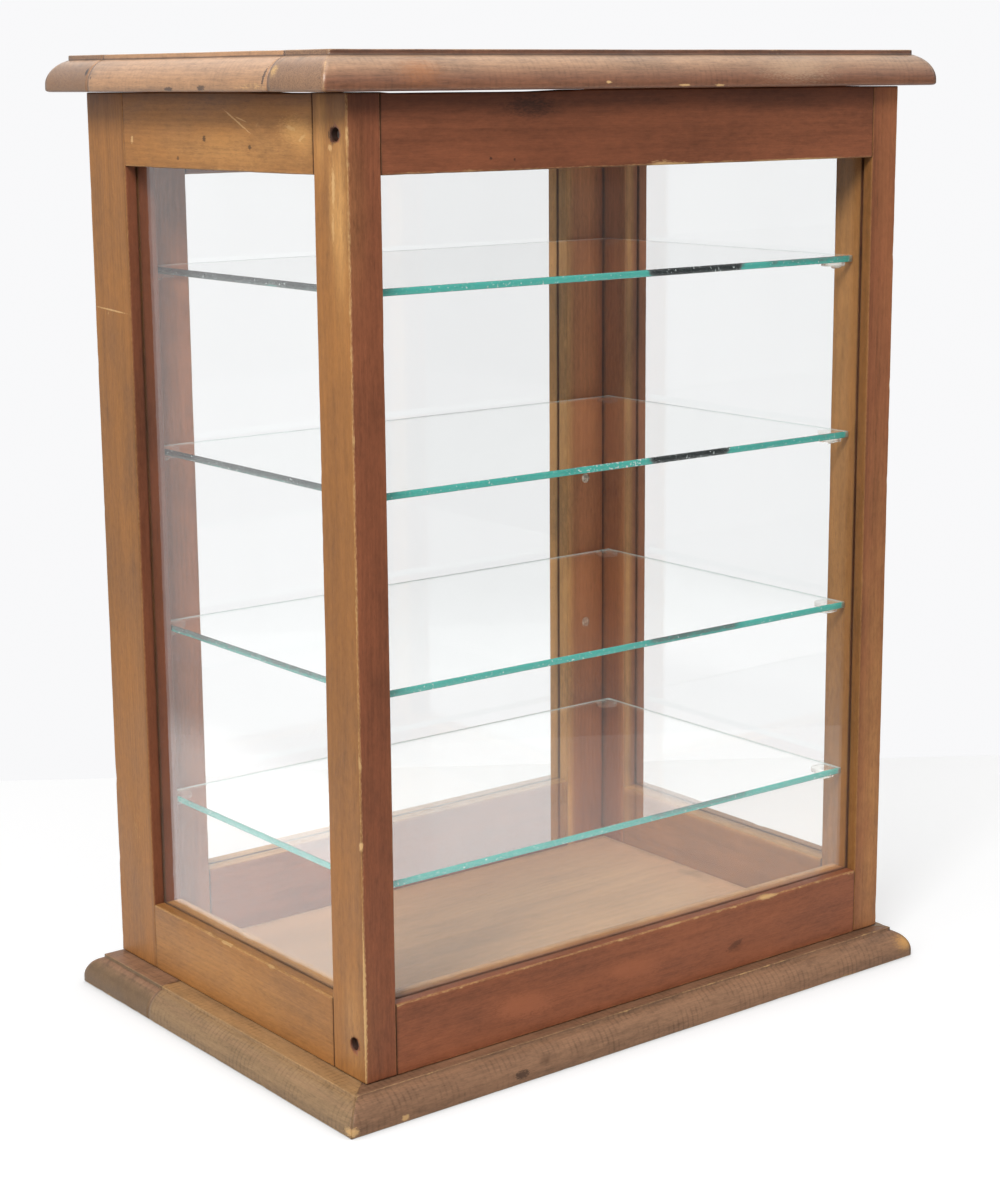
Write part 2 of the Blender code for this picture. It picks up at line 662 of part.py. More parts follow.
def make_hinges(metal, door):
    for place, middle in zip(("lower", "upper"), hinge_levels()):
        post_x = (INNER_LEFT - HINGE_LEAF_T, INNER_LEFT)
        door_x = (DOOR_LEFT, DOOR_LEFT + HINGE_LEAF_T)
        make_hinge_leaf(f"hinge_{place}_post_leaf", post_x, middle, (0, 2), metal)
        make_hinge_leaf(f"hinge_{place}_door_leaf", door_x, middle, (1,), metal, door)
        make_hinge_pin(f"hinge_{place}_pin", middle, metal)


def make_knob(metal, steel, door):
    """A small turned knob on the outside, held by a bolt from the inside of the stile."""
    shape = [
        (FIT, KNOB_NECK_R * 1.3),
        (KNOB_REACH * 0.12, KNOB_NECK_R * 1.3),
        (KNOB_REACH * 0.24, KNOB_NECK_R),
        (KNOB_REACH * 0.42, KNOB_NECK_R),
        (KNOB_REACH * 0.55, KNOB_R * 0.9),
        (KNOB_REACH * 0.70, KNOB_R),
        (KNOB_REACH * 0.85, KNOB_R * 0.9),
        (KNOB_REACH * 0.96, KNOB_R * 0.6),
        (KNOB_REACH, KNOB_R * 0.25),
    ]
    seat = (KNOB_X, DOOR_OUTER, KNOB_Z)
    knob = turned("door_knob", shape, seat, (0, 1, 0))
    bore_start = (KNOB_X, DOOR_OUTER - THROUGH, KNOB_Z)
    cut_bore(knob, bore_start, (0, 1, 0), THROUGH + BOLT_IN_KNOB + FIT, BOLT_R + FIT)
    finish(knob, metal, door, smooth=True)
    head = DOOR_INNER - FIT
    bolt = [
        (-BOLT_HEAD_H, BOLT_HEAD_R * 0.6),
        (-BOLT_HEAD_H * 0.4, BOLT_HEAD_R),
        (0, BOLT_HEAD_R),
        (0, BOLT_R),
        (FIT + DOOR_T + BOLT_IN_KNOB, BOLT_R),
    ]
    bolt_item = turned("door_knob_bolt", bolt, (KNOB_X, head, KNOB_Z), (0, 1, 0))
    finish(bolt_item, steel, door, smooth=True)


# Assembly

def main():
    clear_scene()
    side_wood = make_material("stained_wood", srgb(150, 100, 64), 0.45)
    moulding_wood = make_material("moulding_wood", srgb(134, 98, 70), 0.5)
    floor_wood = make_material("floor_wood", srgb(158, 118, 88), 0.5)
    pane_glass = make_material("pane_glass", srgb(236, 244, 242), 0.03, transmission=1.0)
    shelf_glass = make_material("shelf_glass", srgb(170, 222, 214), 0.03, transmission=1.0)
    clear_plastic = make_material("clear_plastic", srgb(235, 232, 222), 0.15, transmission=0.8)
    brass = make_material("brass", srgb(176, 142, 82), 0.35, metallic=1.0)
    steel = make_material("steel", srgb(170, 165, 155), 0.4, metallic=1.0)
    sides = {"left": -1, "right": 1}
    for place, side in sides.items():
        make_front_post(f"front_{place}_post", side, side_wood)
        make_back_post(f"back_{place}_post", side, side_wood)
        make_side_pane(f"{place}_pane", side, pane_glass)
        for level in BODY_LEVELS:
            make_side_rail(f"{place}_{level}_rail", side, level, side_wood)
            make_post_screw(f"post_screw_{place}_{level}", side, level, steel)
    for level in BODY_LEVELS:
        make_front_rail(f"front_{level}_rail", level, side_wood)
    make_front_pane(pane_glass)
    make_base(moulding_wood)
    make_floor_board(floor_wood)
    make_top(moulding_wood, side_wood)
    for index in range(SHELF_COUNT):
        make_shelf(f"glass_shelf_{index + 1}", index, shelf_glass)
        for place, side in sides.items():
            make_peg(f"shelf_peg_{index + 1}_front_{place}", side, PEG_FRONT_Y, index, clear_plastic)
            make_peg(f"shelf_peg_{index + 1}_back_{place}", side, PEG_BACK_Y, index, clear_plastic)
    door = empty("door_axis", (HINGE_X, HINGE_Y, FLOOR + BODY_H / 2))
    make_door_stile("door_hinge_stile", -1, side_wood, door)
    make_door_stile("door_knob_stile", 1, side_wood, door)
    for level in DOOR_LEVELS:
        make_door_rail(f"door_{level}_rail", level, side_wood, door)
    make_door_pane(pane_glass, door)
    make_hinges(brass, door)
    make_knob(brass, steel, door)


main()
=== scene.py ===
"""Countertop display case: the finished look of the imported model.

Metres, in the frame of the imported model: the glazed front faces -Y, the door is at +Y.
Every wooden board is lofted from its own section, with worn arrises, grooves and joint lines.
"""

import json
import math

import bmesh
import bpy
import numpy as np
from mathutils import Matrix, Vector

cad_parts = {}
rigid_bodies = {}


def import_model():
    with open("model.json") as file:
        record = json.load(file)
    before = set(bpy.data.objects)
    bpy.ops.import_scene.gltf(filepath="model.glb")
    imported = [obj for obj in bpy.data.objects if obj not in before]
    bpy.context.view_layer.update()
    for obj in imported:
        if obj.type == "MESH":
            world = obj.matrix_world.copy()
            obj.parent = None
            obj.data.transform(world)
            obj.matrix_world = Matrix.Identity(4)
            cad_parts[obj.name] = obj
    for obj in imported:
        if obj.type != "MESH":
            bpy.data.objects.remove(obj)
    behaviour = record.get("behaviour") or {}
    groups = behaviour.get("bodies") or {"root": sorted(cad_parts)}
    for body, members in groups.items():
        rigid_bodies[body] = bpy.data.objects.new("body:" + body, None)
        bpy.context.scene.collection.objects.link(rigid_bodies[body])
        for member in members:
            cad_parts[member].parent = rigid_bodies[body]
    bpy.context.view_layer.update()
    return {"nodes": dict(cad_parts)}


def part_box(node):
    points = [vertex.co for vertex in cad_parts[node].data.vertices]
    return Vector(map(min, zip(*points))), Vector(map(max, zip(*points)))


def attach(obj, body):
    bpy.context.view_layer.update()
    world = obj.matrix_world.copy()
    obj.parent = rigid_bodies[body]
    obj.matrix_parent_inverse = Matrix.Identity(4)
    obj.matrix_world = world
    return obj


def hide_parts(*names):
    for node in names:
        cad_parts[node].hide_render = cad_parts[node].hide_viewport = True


bl_info = {
    "name": "Countertop display case",
    "version": (1, 0, 0),
    "blender": (4, 5, 0),
    "location": "3D View > Sidebar > Display case",
    "description": "Finishes the wood, glass and fittings of a countertop display case",
    "category": "Object",
}

for leftover in list(bpy.data.objects):
    bpy.data.objects.remove(leftover)
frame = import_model()

# Camera, solved on the corners of the case
PHOTO_HEIGHT = 1177
FOCAL_PIXELS = 2389.03
CAMERA_PLACE = (-1.00427, -1.28638, 0.62809)
CAMERA_RIGHT = (0.78800, -0.61563, -0.00757)
CAMERA_DOWN = (-0.13445, -0.16007, -0.97791)
CAMERA_AHEAD = (0.60081, 0.77161, -0.20891)

# Board making
ARC_STEPS = 4
STATION = 0.0045
END_ROUND = 0.0006
JOINT_GAP = 0.00015
MITRE_GAP = 0.00012
GROOVE_DEPTH = 0.006
# Radius, rub and soil of a groove's corners
GROOVE_LIP = (0.0002, 0, 0.55)
GROOVE_BED = (0, 0, 1)
SOIL_REACH = 0.0012
EDGE_FINE = (0.0005, 0.0012, 0.0024, 0.0042, 0.0068)
FLAT_STEP = 0.0055
RIM_FAR = 0.02
PANE_PLAY = 0.0003

# Wear of a board's surface
WAVE_HEIGHT = 0.00010
RIPPLE_HEIGHT = 0.00004
WORN_REACH = 0.0022
SOFTENED = 0.00012
CHIP_DEPTH = 0.0022

# Hinges, shelves and lamps
LEAF_THICKNESS = 0.0013
RECESS_PLAY = 0.0001
SHELF_BEVEL = 0.0005
SHELF_STEP = 0.004
LAMP_AIM = (0, 0, 0.33)

# Section axes for a board that runs along x, y or z: across, through, along
SECTION_AXES = {"x": (1, 2, 0), "y": (2, 0, 1), "z": (0, 1, 2)}


def srgb(red, green, blue):
    """A colour as read off a screen, made linear."""
    values = []
    for value in (red, green, blue):
        part = value / 255
        values.append(part / 12.92 if part <= 0.04045 else ((part + 0.055) / 1.055) ** 2.4)
    return tuple(values)


def colour_property(name, description, value):
    return bpy.props.FloatVectorProperty(
        name=name, description=description, default=value, size=3, min=0, max=1, subtype="COLOR"
    )


def length_property(name, description, value):
    return bpy.props.FloatProperty(
        name=name, description=description, default=value, min=0, precision=5,
        subtype="DISTANCE", unit="LENGTH",
    )


def share_property(name, description, value):
    return bpy.props.FloatProperty(
        name=name, description=description, default=value, min=0, max=1, subtype="FACTOR"
    )


def power_property(name, description, value):
    return bpy.props.FloatProperty(name=name, description=description, default=value, min=0, unit="POWER")


class CaseWood(bpy.types.PropertyGroup):
    """Colours and sizes of the wood."""

    stain: colour_property("Stain", "Red-brown stain of the posts and rails", srgb(142, 84, 56))
    # Painted light: faces that look left get this lighter colour, as if lit from the left
    left_lit_colour: colour_property("Left-lit stain", "Stain on the faces that look left", srgb(160, 108, 58))
    # Painted light: faces inside the case are lighter, as if more light fell inside it
    inside: colour_property("Lit inner stain", "Stain on the faces inside the case", srgb(199, 129, 81))
    worn: colour_property("Worn wood", "Bare wood at rubbed arrises", srgb(222, 180, 124))
    raw: colour_property("Unstained wood", "Sills behind the panes and rubbed patches", srgb(216, 162, 98))
    soil: colour_property("Soil", "Dirt in joints, grooves and quirks", srgb(44, 28, 22))
    top_front: colour_property("Top moulding", "Front of the moulded top", srgb(126, 82, 58))
    # Painted light: the top's left side is lighter than its front, as if lit from the left
    top_side: colour_property("Top moulding side", "Left side of the moulded top", srgb(168, 126, 90))
    # Painted highlight: the top's upward faces are lighter, as if lit from above
    top_lit_upper: colour_property("Top, upper", "Upper faces of the top, lit from above", srgb(176, 140, 110))
    base_front: colour_property("Base moulding", "Front of the moulded base", srgb(146, 110, 84))
    # Painted light: the base's left-facing and upward faces take their own tone, for the light on that side
    base_side: colour_property("Base moulding side", "Left side of the moulded base", srgb(145, 117, 86))
    floor: colour_property("Floor board", "Unstained board inside the case", srgb(230, 183, 138))
    arris: length_property("Arris radius", "Rounding of the boards' long edges", 0.0009)
    ring_spacing: length_property("Ring spacing", "Distance between growth rings", 0.0034)
    wear: share_property("Wear", "How rubbed the arrises are", 0.7)


class CaseGlass(bpy.types.PropertyGroup):
    """Colours of the glass and the clear pegs."""

    pane: colour_property("Pane", "Tint of the panes", (0.988, 0.993, 0.99))
    shelf: colour_property("Shelf", "Tint of the shelves' faces", (0.98, 0.993, 0.988))
    # The edges' green is partly the glass's own; their light and deep tones are painted light and shade
    edge: colour_property("Shelf edge", "Light green-blue of the shelves' edges", srgb(66, 176, 162))
    edge_dark: colour_property("Dark shelf edge", "Deep green of the shelves' edges", srgb(26, 36, 36))
    peg: colour_property("Peg", "Clear plastic of the pegs", (0.90, 0.88, 0.80))


class CaseFittings(bpy.types.PropertyGroup):
    """Colours and sizes of the metal fittings."""

    brass: colour_property("Brass", "Aged brass of the hinges and the knob", srgb(170, 132, 72))
    steel: colour_property("Steel", "Steel of the screws and the bolt", srgb(150, 146, 140))
    nickel: colour_property("Nickel", "Pale nickel of the bolt head inside the door", srgb(226, 216, 198))
    hinge_screw: length_property("Hinge screw head", "Radius of a hinge screw's head", 0.0024)
    post_screw: length_property("Post screw head", "Radius of a sunk screw's head", 0.0029)
    peg_pad: length_property("Peg pad", "Width of a peg's pad", 0.014)
    peg_reach: length_property("Peg reach", "How far a peg's pad stands into the case", 0.016)


class CaseStage(bpy.types.PropertyGroup):
    """Floor and light."""

    floor: colour_property("Floor", "Colour of the floor that the case stands on", (0.40, 0.40, 0.40))
    backdrop: colour_property("Backdrop", "Colour behind the case", (0.945, 0.945, 0.955))
    key: power_property("Key light", "Soft lamp above, left and in front", 41)
    side: power_property("Side light", "Wide lamp on the left", 9)
    fill: power_property("Fill light", "Wide lamp low in front, on the right", 5.5)
    overhead: power_property("Overhead light", "Wide lamp above", 9)
    ambient: share_property("Ambient", "Even light from all round", 0.20)


def wood():
    return bpy.context.scene.case_wood


def glass():
    return bpy.context.scene.case_glass


def fittings():
    return bpy.context.scene.case_fittings


def stage():
    return bpy.context.scene.case_stage


def low(node):
    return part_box(node)[0]


def high(node):
    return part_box(node)[1]


def middle(node):
    return [(a + b) / 2 for a, b in zip(*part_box(node))]


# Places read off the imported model
LEFT = low("front_left_post")[0]
RIGHT = high("front_right_post")[0]
INNER_LEFT = high("front_left_post")[0]
INNER_RIGHT = low("front_right_post")[0]
FRONT = low("front_left_post")[1]
BACK = high("back_left_post")[1]
POST_FRONT_END = high("front_left_post")[1]
POST_BACK_START = low("back_left_post")[1]
POST_TOP = high("front_left_post")[2]
LINTEL = low("front_top_rail")[2]
SILL = high("front_bottom_rail")[2]
RAIL_BACK = high("front_top_rail")[1]
BASE_TOP = high("base_front_rail")[2]
TOP_BOTTOM = low("top_front_rail")[2]
TOP_LEFT = low("top_front_rail")[0]
TOP_FRONT = low("top_front_rail")[1]
BASE_LEFT = low("base_front_rail")[0]
BASE_FRONT = low("base_front_rail")[1]
BASE_RIGHT = high("base_front_rail")[0]

# Marks on the wood: kind, centre, reach, turn and strength
NO_TURN = (0, 0, 0)


def on_left(kind, y, z, wide, tall, amount, tilt=0, deep=0.01):
    """A mark on the frame's left side. Its tilt is in degrees."""
    return kind, (LEFT, y, z), (deep, wide, tall), (math.radians(tilt), 0, 0), amount


def on_front(kind, x, z, wide, tall, amount, tilt=0, deep=0.004):
    """A mark on the frame's front."""
    return kind, (x, FRONT, z), (wide, deep, tall), (0, math.radians(tilt), 0), amount


FRAME_MARKS = (
    on_left("pale", -0.031, 0.604, 0.0170, 0.0006, 0.75, tilt=25),
    on_left("pale", -0.036, 0.605, 0.0070, 0.0005, 0.60, tilt=14),
    on_left("dark", 0.0074, 0.5928, 0.0022, 0.0018, 0.75),
    on_left("dark", -0.0454, 0.5888, 0.0020, 0.0016, 0.70),
    on_left("dark", 0.0396, 0.5806, 0.0016, 0.0014, 0.60),
    on_left("pale", 0.0969, 0.5914, 0.0016, 0.0030, 0.85),
    on_left("golden", -0.0930, 0.5990, 0.0200, 0.0100, 0.80),
    on_left("pale", -0.0900, 0.6005, 0.0060, 0.0012, 0.60, tilt=12),
    on_left("pale", -0.1020, 0.5950, 0.0040, 0.0010, 0.60, tilt=-30),
    on_left("golden", -0.1330, 0.5600, 0.0050, 0.0360, 0.60),
    on_left("pale", -0.1335, 0.5680, 0.0016, 0.0120, 0.65),
    on_left("pale", -0.1325, 0.5440, 0.0012, 0.0080, 0.50),
    on_left("dark", -0.1344, 0.5971, 0.0046, 0.0054, 0.90, deep=0.004),
    on_left("dark", -0.1358, 0.0446, 0.0042, 0.0048, 0.90, deep=0.004),
    on_left("pale", -0.1310, 0.5900, 0.0020, 0.0020, 0.70, deep=0.004),
    on_left("pale", 0.1340, 0.4787, 0.0210, 0.0006, 0.75, tilt=3),
    on_left("pale", FRONT + 0.001, 0.1753, 0.0018, 0.0030, 0.90, deep=0.002),
    on_left("pale", FRONT + 0.0006, 0.072, 0.0009, 0.0520, 0.75, deep=0.002),
    on_front("stain", -0.0925, 0.6122, 0.0230, 0.0080, 0.62),
    on_front("pale", 0.0205, LINTEL, 0.0200, 0.0016, 0.85),
    on_front("pale", 0.1315, LINTEL, 0.0400, 0.0011, 0.70),
    on_front("dark", -0.1225, 0.5815, 0.0012, 0.0010, 0.75),
    on_front("dark", -0.1045, 0.5805, 0.0010, 0.0010, 0.65),
    on_front("glow", -0.1010, 0.0420, 0.0270, 0.0090, 0.62, tilt=8),
    on_front("glow", -0.0060, 0.0440, 0.0260, 0.0080, 0.50, tilt=8),
    on_front("dark", 0.0859, 0.0392, 0.0080, 0.0025, 0.40, tilt=-20),
    on_front("pale", 0.1170, SILL - 0.0006, 0.0090, 0.0016, 0.85),
)
TOP_MARKS = (
    ("amber", (-0.1810, TOP_FRONT, 0.6330), (0.0200, 0.02, 0.0100), NO_TURN, 0.35),
    ("dust", (0.1210, TOP_FRONT, 0.6330), (0.0420, 0.02, 0.0110), NO_TURN, 0.40),
    ("pale", (-0.0412, TOP_FRONT, 0.6253), (0.0022, 0.01, 0.0009), NO_TURN, 1.0),
    ("pale", (0.0209, TOP_FRONT, 0.6230), (0.0045, 0.01, 0.0008), NO_TURN, 1.0),
    ("pale", (0.0507, TOP_FRONT, 0.6228), (0.0038, 0.01, 0.0008), NO_TURN, 1.0),
    ("dark", (TOP_LEFT, 0.1147, 0.6340), (0.01, 0.0016, 0.0026), NO_TURN, 1.0),
    ("dark", (TOP_LEFT, 0.1070, 0.6300), (0.01, 0.0009, 0.0012), NO_TURN, 0.8),
    ("dark", (TOP_LEFT, 0.0080, 0.6232), (0.01, 0.0050, 0.0013), NO_TURN, 0.8),
    ("dark", (TOP_LEFT, -0.0300, 0.6236), (0.01, 0.0048, 0.0016), NO_TURN, 0.8),
    ("dark", (TOP_LEFT, -0.0985, 0.6300), (0.01, 0.0012, 0.0060), (math.radians(12), 0, 0), 0.8),
)
BASE_MARKS = (
    ("dark", (-0.1183, BASE_FRONT, 0.0060), (0.0060, 0.01, 0.0030), NO_TURN, 0.75),
    ("pale", (-0.2105, BASE_FRONT, 0.0030), (0.0030, 0.01, 0.0022), NO_TURN, 0.80),
    ("pale", (BASE_LEFT + 0.002, BASE_FRONT + 0.002, 0.0040), (0.0040, 0.006, 0.0030), NO_TURN, 0.80),
    ("golden", (BASE_RIGHT - 0.004, BASE_FRONT + 0.003, 0.0110), (0.0130, 0.01, 0.0080), NO_TURN, 0.85),
)


# Noise and marks

def lattice_noise(points, seed=0):
    """Smooth noise from -1 to 1 at each row of points."""
    points = np.asarray(points, dtype=float)
    cell = np.floor(points).astype(np.int64)
    part = points - cell
    part = part * part * (3 - 2 * part)
    total = np.zeros(len(points))
    for corner in range(8):
        step = np.array([corner & 1, corner >> 1 & 1, corner >> 2 & 1])
        place = (cell + step).astype(np.uint64)
        mixed = place[:, 0] * np.uint64(374761393) + place[:, 1] * np.uint64(668265263)
        mixed = mixed + place[:, 2] * np.uint64(2246822519) + np.uint64(seed * 3266489917 + 97)
        mixed = (mixed ^ (mixed >> np.uint64(13))) * np.uint64(1274126177)
        mixed = (mixed ^ (mixed >> np.uint64(16))) & np.uint64(0xFFFFFF)
        value = mixed.astype(float) / 0x7FFFFF - 1
        weight = np.prod(np.where(step == 1, part, 1 - part), axis=1)
        total += value * weight
    return total


def spot(points, centre, reach):
    """A soft spot: 1 at the centre, fading out over reach along each axis."""
    gap = (np.asarray(points) - np.array(centre)) / np.array(reach)
    return np.exp(-np.sum(gap * gap, axis=1))


# Board sections

def round_outline(corners):
    """Points round a section, as rows of across, through, normal, rim, rub and soil.

    A corner is (across, through, radius, rub, soil), in turn anticlockwise. Rim is the distance
    to the nearest arris, rub how worn that arris is, and soil how dirty the place is.
    """
    rows = []
    count = len(corners)
    for index, corner in enumerate(corners):
        after = corners[(index + 1) % count]
        here, radius, rub, soil = np.array(corner[:2]), corner[2], corner[3], corner[4]
        backward = np.array(corners[index - 1][:2]) - here
        onward = np.array(after[:2]) - here
        length = np.linalg.norm(onward)
        backward = backward / np.linalg.norm(backward)
        onward = onward / length
        if radius > 0:
            centre = here + (backward + onward) * radius
            for step in range(ARC_STEPS + 1):
                turn = math.pi / 2 * step / ARC_STEPS
                away = -onward * math.cos(turn) - backward * math.sin(turn)
                place = centre + away * radius
                rows.append((place[0], place[1], away[0], away[1], 0, rub, soil))
        else:
            inward = (backward + onward) / math.sqrt(2)
            turning = backward[0] * onward[1] - backward[1] * onward[0]
            away = inward if turning > 0 else -inward
            rows.append((here[0], here[1], away[0], away[1], RIM_FAR, 0, soil))
        normal = (onward[1], -onward[0])
        straight = length - radius - after[2]
        for distance in edge_steps(straight):
            place = here + onward * (radius + distance)
            rim, worn = RIM_FAR, 0
            if radius > 0:
                rim, worn = distance, rub
            if after[2] > 0 and straight - distance < rim:
                rim, worn = straight - distance, after[3]
            dirt = min(soil, after[4])
            dirt = max(dirt, soil * math.exp(-distance / SOIL_REACH))
            dirt = max(dirt, after[4] * math.exp(-(straight - distance) / SOIL_REACH))
            rows.append((place[0], place[1], normal[0], normal[1], rim, worn, dirt))
    return np.array(rows)


def edge_steps(length):
    """Distances along a flat: close together near both arrises, even between them."""
    near = [step for step in EDGE_FINE if step < length * 0.45]
    steps = near + [length - step for step in near]
    if not near:
        return [] if length < 0.001 else [length / 2]
    start, end = near[-1], length - near[-1]
    count = max(1, round((end - start) / FLAT_STEP))
    steps += [start + (end - start) * index / count for index in range(1, count)]
    return sorted(steps)


def grooved_section(lowest, highest, rubs, grooves=(), radius=None):
    """Corners of a rectangle, anticlockwise, with grooves cut into its sides.

    A groove is (side, start, end, depth). Rubs are for the corners in turn, from the lowest one.
    """
    radius = wood().arris if radius is None else radius
    (across0, through0), (across1, through1) = lowest, highest
    sides = ("bottom", "right", "top", "left")
    places = ((across0, through0), (across1, through0), (across1, through1), (across0, through1))
    corners = []
    for side, place, rub in zip(sides, places, rubs):
        corners.append((place[0], place[1], radius, rub, 0))
        for groove_side, start, end, depth in grooves:
            if groove_side != side:
                continue
            first, last = (start, end) if side in ("bottom", "right") else (end, start)
            face = {"bottom": through0, "right": across1, "top": through1, "left": across0}[side]
            bed = face + depth if side in ("bottom", "left") else face - depth
            run = [(first, face), (first, bed), (last, bed), (last, face)]
            if side in ("right", "left"):
                run = [(place, along) for along, place in run]
            corners.append(run[0] + GROOVE_LIP)
            corners.append(run[1] + GROOVE_BED)
            corners.append(run[2] + GROOVE_BED)
            corners.append(run[3] + GROOVE_LIP)
    return corners


def end_stations(start, end):
    """Places along a board and how far its section is drawn in there, so that its ends are rounded."""
    length = end - start
    count = max(4, round((length - 4 * END_ROUND) / STATION))
    ends = [(0, 1), (0.15, 0.45), (0.5, 0.13), (1, 0), (2.2, 0)]
    stations = [(start + END_ROUND * along, END_ROUND * inset) for along, inset in ends]
    inner_start, inner_end = start + 2.2 * END_ROUND, end - 2.2 * END_ROUND
    for index in range(1, count):
        stations.append((inner_start + (inner_end - inner_start) * index / count, 0))
    stations += [(end - END_ROUND * along, END_ROUND * inset) for along, inset in reversed(ends)]
    return np.array(stations)


# Boards as meshes

def new_mesh(name, vertices, faces):
    mesh = bpy.data.meshes.new(name)
    mesh.from_pydata([tuple(row) for row in vertices], [], faces)
    mesh.update()
    return mesh


def loop_faces(count, loops):
    """Faces between loops of count points each, and then the two ends."""
    faces = []
    for first in range(0, (loops - 1) * count, count):
        for index in range(count):
            onward = (index + 1) % count
            faces.append((first + index, first + onward, first + count + onward, first + count + index))
    total = loops * count
    return faces + [tuple(range(count - 1, -1, -1)), tuple(range(total - count, total))]


def lofted_mesh(name, points, count):
    """A mesh of loops of count points each, with smooth sides and two flat ends."""
    faces = loop_faces(count, len(points) // count)
    mesh = new_mesh(name, points, faces)
    smooth = np.ones(len(faces), dtype=bool)
    smooth[-2:] = False
    mesh.polygons.foreach_set("use_smooth", smooth)
    return mesh


def add_number(mesh, name, values):
    layer = mesh.attributes.new(name, "FLOAT", "POINT")
    layer.data.foreach_set("value", np.asarray(values, dtype=np.float32))


def add_vector(mesh, name, values):
    layer = mesh.attributes.new(name, "FLOAT_VECTOR", "POINT")
    layer.data.foreach_set("vector", np.asarray(values, dtype=np.float32).ravel())


def vertex_normals(mesh):
    normals = np.zeros(len(mesh.vertices) * 3, dtype=np.float32)
    mesh.vertex_normals.foreach_get("vector", normals)
    return normals.reshape(-1, 3)


def roughen(mesh, points, rim, rub, seed, calm=1.0):
    """Hand-worn surface: slight waves, softened arrises, and chips out of them. Returns the chips."""
    normals = vertex_normals(mesh)
    wave = WAVE_HEIGHT * lattice_noise(points * 17, seed)
    wave = wave + RIPPLE_HEIGHT * lattice_noise(points * 70, seed + 1)
    near = np.clip(1 - rim / WORN_REACH, 0, 1)
    soften = SOFTENED * near * np.abs(lattice_noise(points * 48, seed + 2))
    chips = np.clip(lattice_noise(points * 120, seed + 3) - 0.50, 0, 1) * near * np.clip(rub, 0, 1)
    depth = calm * (wave - soften - CHIP_DEPTH * chips)
    moved = points + normals * depth[:, None]
    mesh.vertices.foreach_set("co", moved.astype(np.float32).ravel())
    mesh.update()
    return np.clip(chips * 4, 0, 1)


def dress(
    mesh, along, points, rim, rub, soil, seed, pith, marks, calm=1.0, indoors=(0, 0, 0), unstained=(0, 0, 0)
):
    """Gives a board's mesh the fields that its material reads.

    Faces that look along indoors get a lighter colour, painted light inside the case, and faces that look
    along unstained have none.
    """
    chips = roughen(mesh, points, rim, rub, seed, calm)
    normals = vertex_normals(mesh)
    others = [axis for axis in range(3) if axis != along]
    board = points[:, [along] + others]
    middle = (board.min(axis=0) + board.max(axis=0)) / 2
    local = board - middle
    bend = 0.0035 * lattice_noise(local * (5, 14, 14) + seed * 7.3, seed + 5)
    bend = bend + 0.0012 * lattice_noise(local * (16, 40, 40) + seed * 3.1, seed + 6)
    ring = np.hypot(local[:, 1] - pith[0], local[:, 2] - pith[1]) + bend + pith[2] * local[:, 0]
    stripped = 0.9 * np.clip(normals @ np.array(unstained, dtype=float) * 1.4 - 0.4, 0, 1)
    # dim starts at zero; marks set it, mostly as painted shade
    fields = {"soil": soil, "bare": chips, "raw": stripped, "dim": np.zeros(len(points))}
    for kind, centre, reach, amount in marks:
        fields[kind] = np.maximum(fields[kind], amount * spot(points, centre, reach))
    add_vector(mesh, "grain", local + np.array([seed * 1.37, seed * 0.91, seed * 0.53]))
    add_number(mesh, "ring", ring)
    add_number(mesh, "rim", np.minimum(rim, RIM_FAR) * 1000)
    add_number(mesh, "rub", rub)
    # fade: how far a face looks left (on boards along y, also up), where painted light from the left
    # lightens it
    fields["fade"] = np.maximum(-normals[:, 0], normals[:, 2]) if along == 1 else -normals[:, 0]
    fields["upward"] = normals[:, 2]
    fields["butt"] = np.abs(normals[:, along])
    # indoors: how far a face looks into the case, to be painted lighter
    fields["indoors"] = normals @ np.array(indoors, dtype=float)
    for name, values in fields.items():
        add_number(mesh, name, np.clip(values, 0, 1))


def place_object(name, data):
    thing = bpy.data.objects.new(name, data)
    bpy.context.scene.collection.objects.link(thing)
    return thing


def settle(thing, body, material, nodes=()):
    """Hands a finished piece to the frame."""
    if material is not None:
        thing.data.materials.clear()
        thing.data.materials.append(material)
    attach(thing, body)
    if nodes:
        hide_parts(*nodes)
    return thing


def make_board(
    name, axis, span, corners, seed, pith=(0.02, 0.05, 0.004), marks=(), end_rub=0.0, bend=None,
    indoors=(0, 0, 0), unstained=(0, 0, 0),
):
    """A straight board: its section lofted along an axis, with rounded and soiled ends."""
    across, through, along = SECTION_AXES[axis]
    outline = round_outline(corners)
    start, end = span[0] + JOINT_GAP, span[1] - JOINT_GAP
    stations = end_stations(start, end)
    count = len(outline)
    points = np.zeros((len(stations) * count, 3))
    place = np.repeat(stations[:, 0], count)
    inset = np.repeat(stations[:, 1], count)
    row = np.tile(outline, (len(stations), 1))
    points[:, along] = place
    points[:, across] = row[:, 0] - row[:, 2] * inset
    points[:, through] = row[:, 1] - row[:, 3] * inset
    if bend is not None:
        points = bend(points)
    from_end = np.minimum(place - start, end - place)
    rim, rub, soil = row[:, 4].copy(), row[:, 5].copy(), row[:, 6].copy()
    if end_rub > 0:
        closer = from_end < rim
        rub = np.where(closer, end_rub, rub)
        rim = np.minimum(rim, from_end)
    soil = np.maximum(soil, 0.75 * np.exp(-from_end / 0.0011) * (1 - end_rub))
    mesh = lofted_mesh(name, points, count)
    dress(mesh, along, points, rim, rub * wood().wear, soil, seed, pith, marks, 1.0, indoors, unstained)
    return place_object(name, mesh)


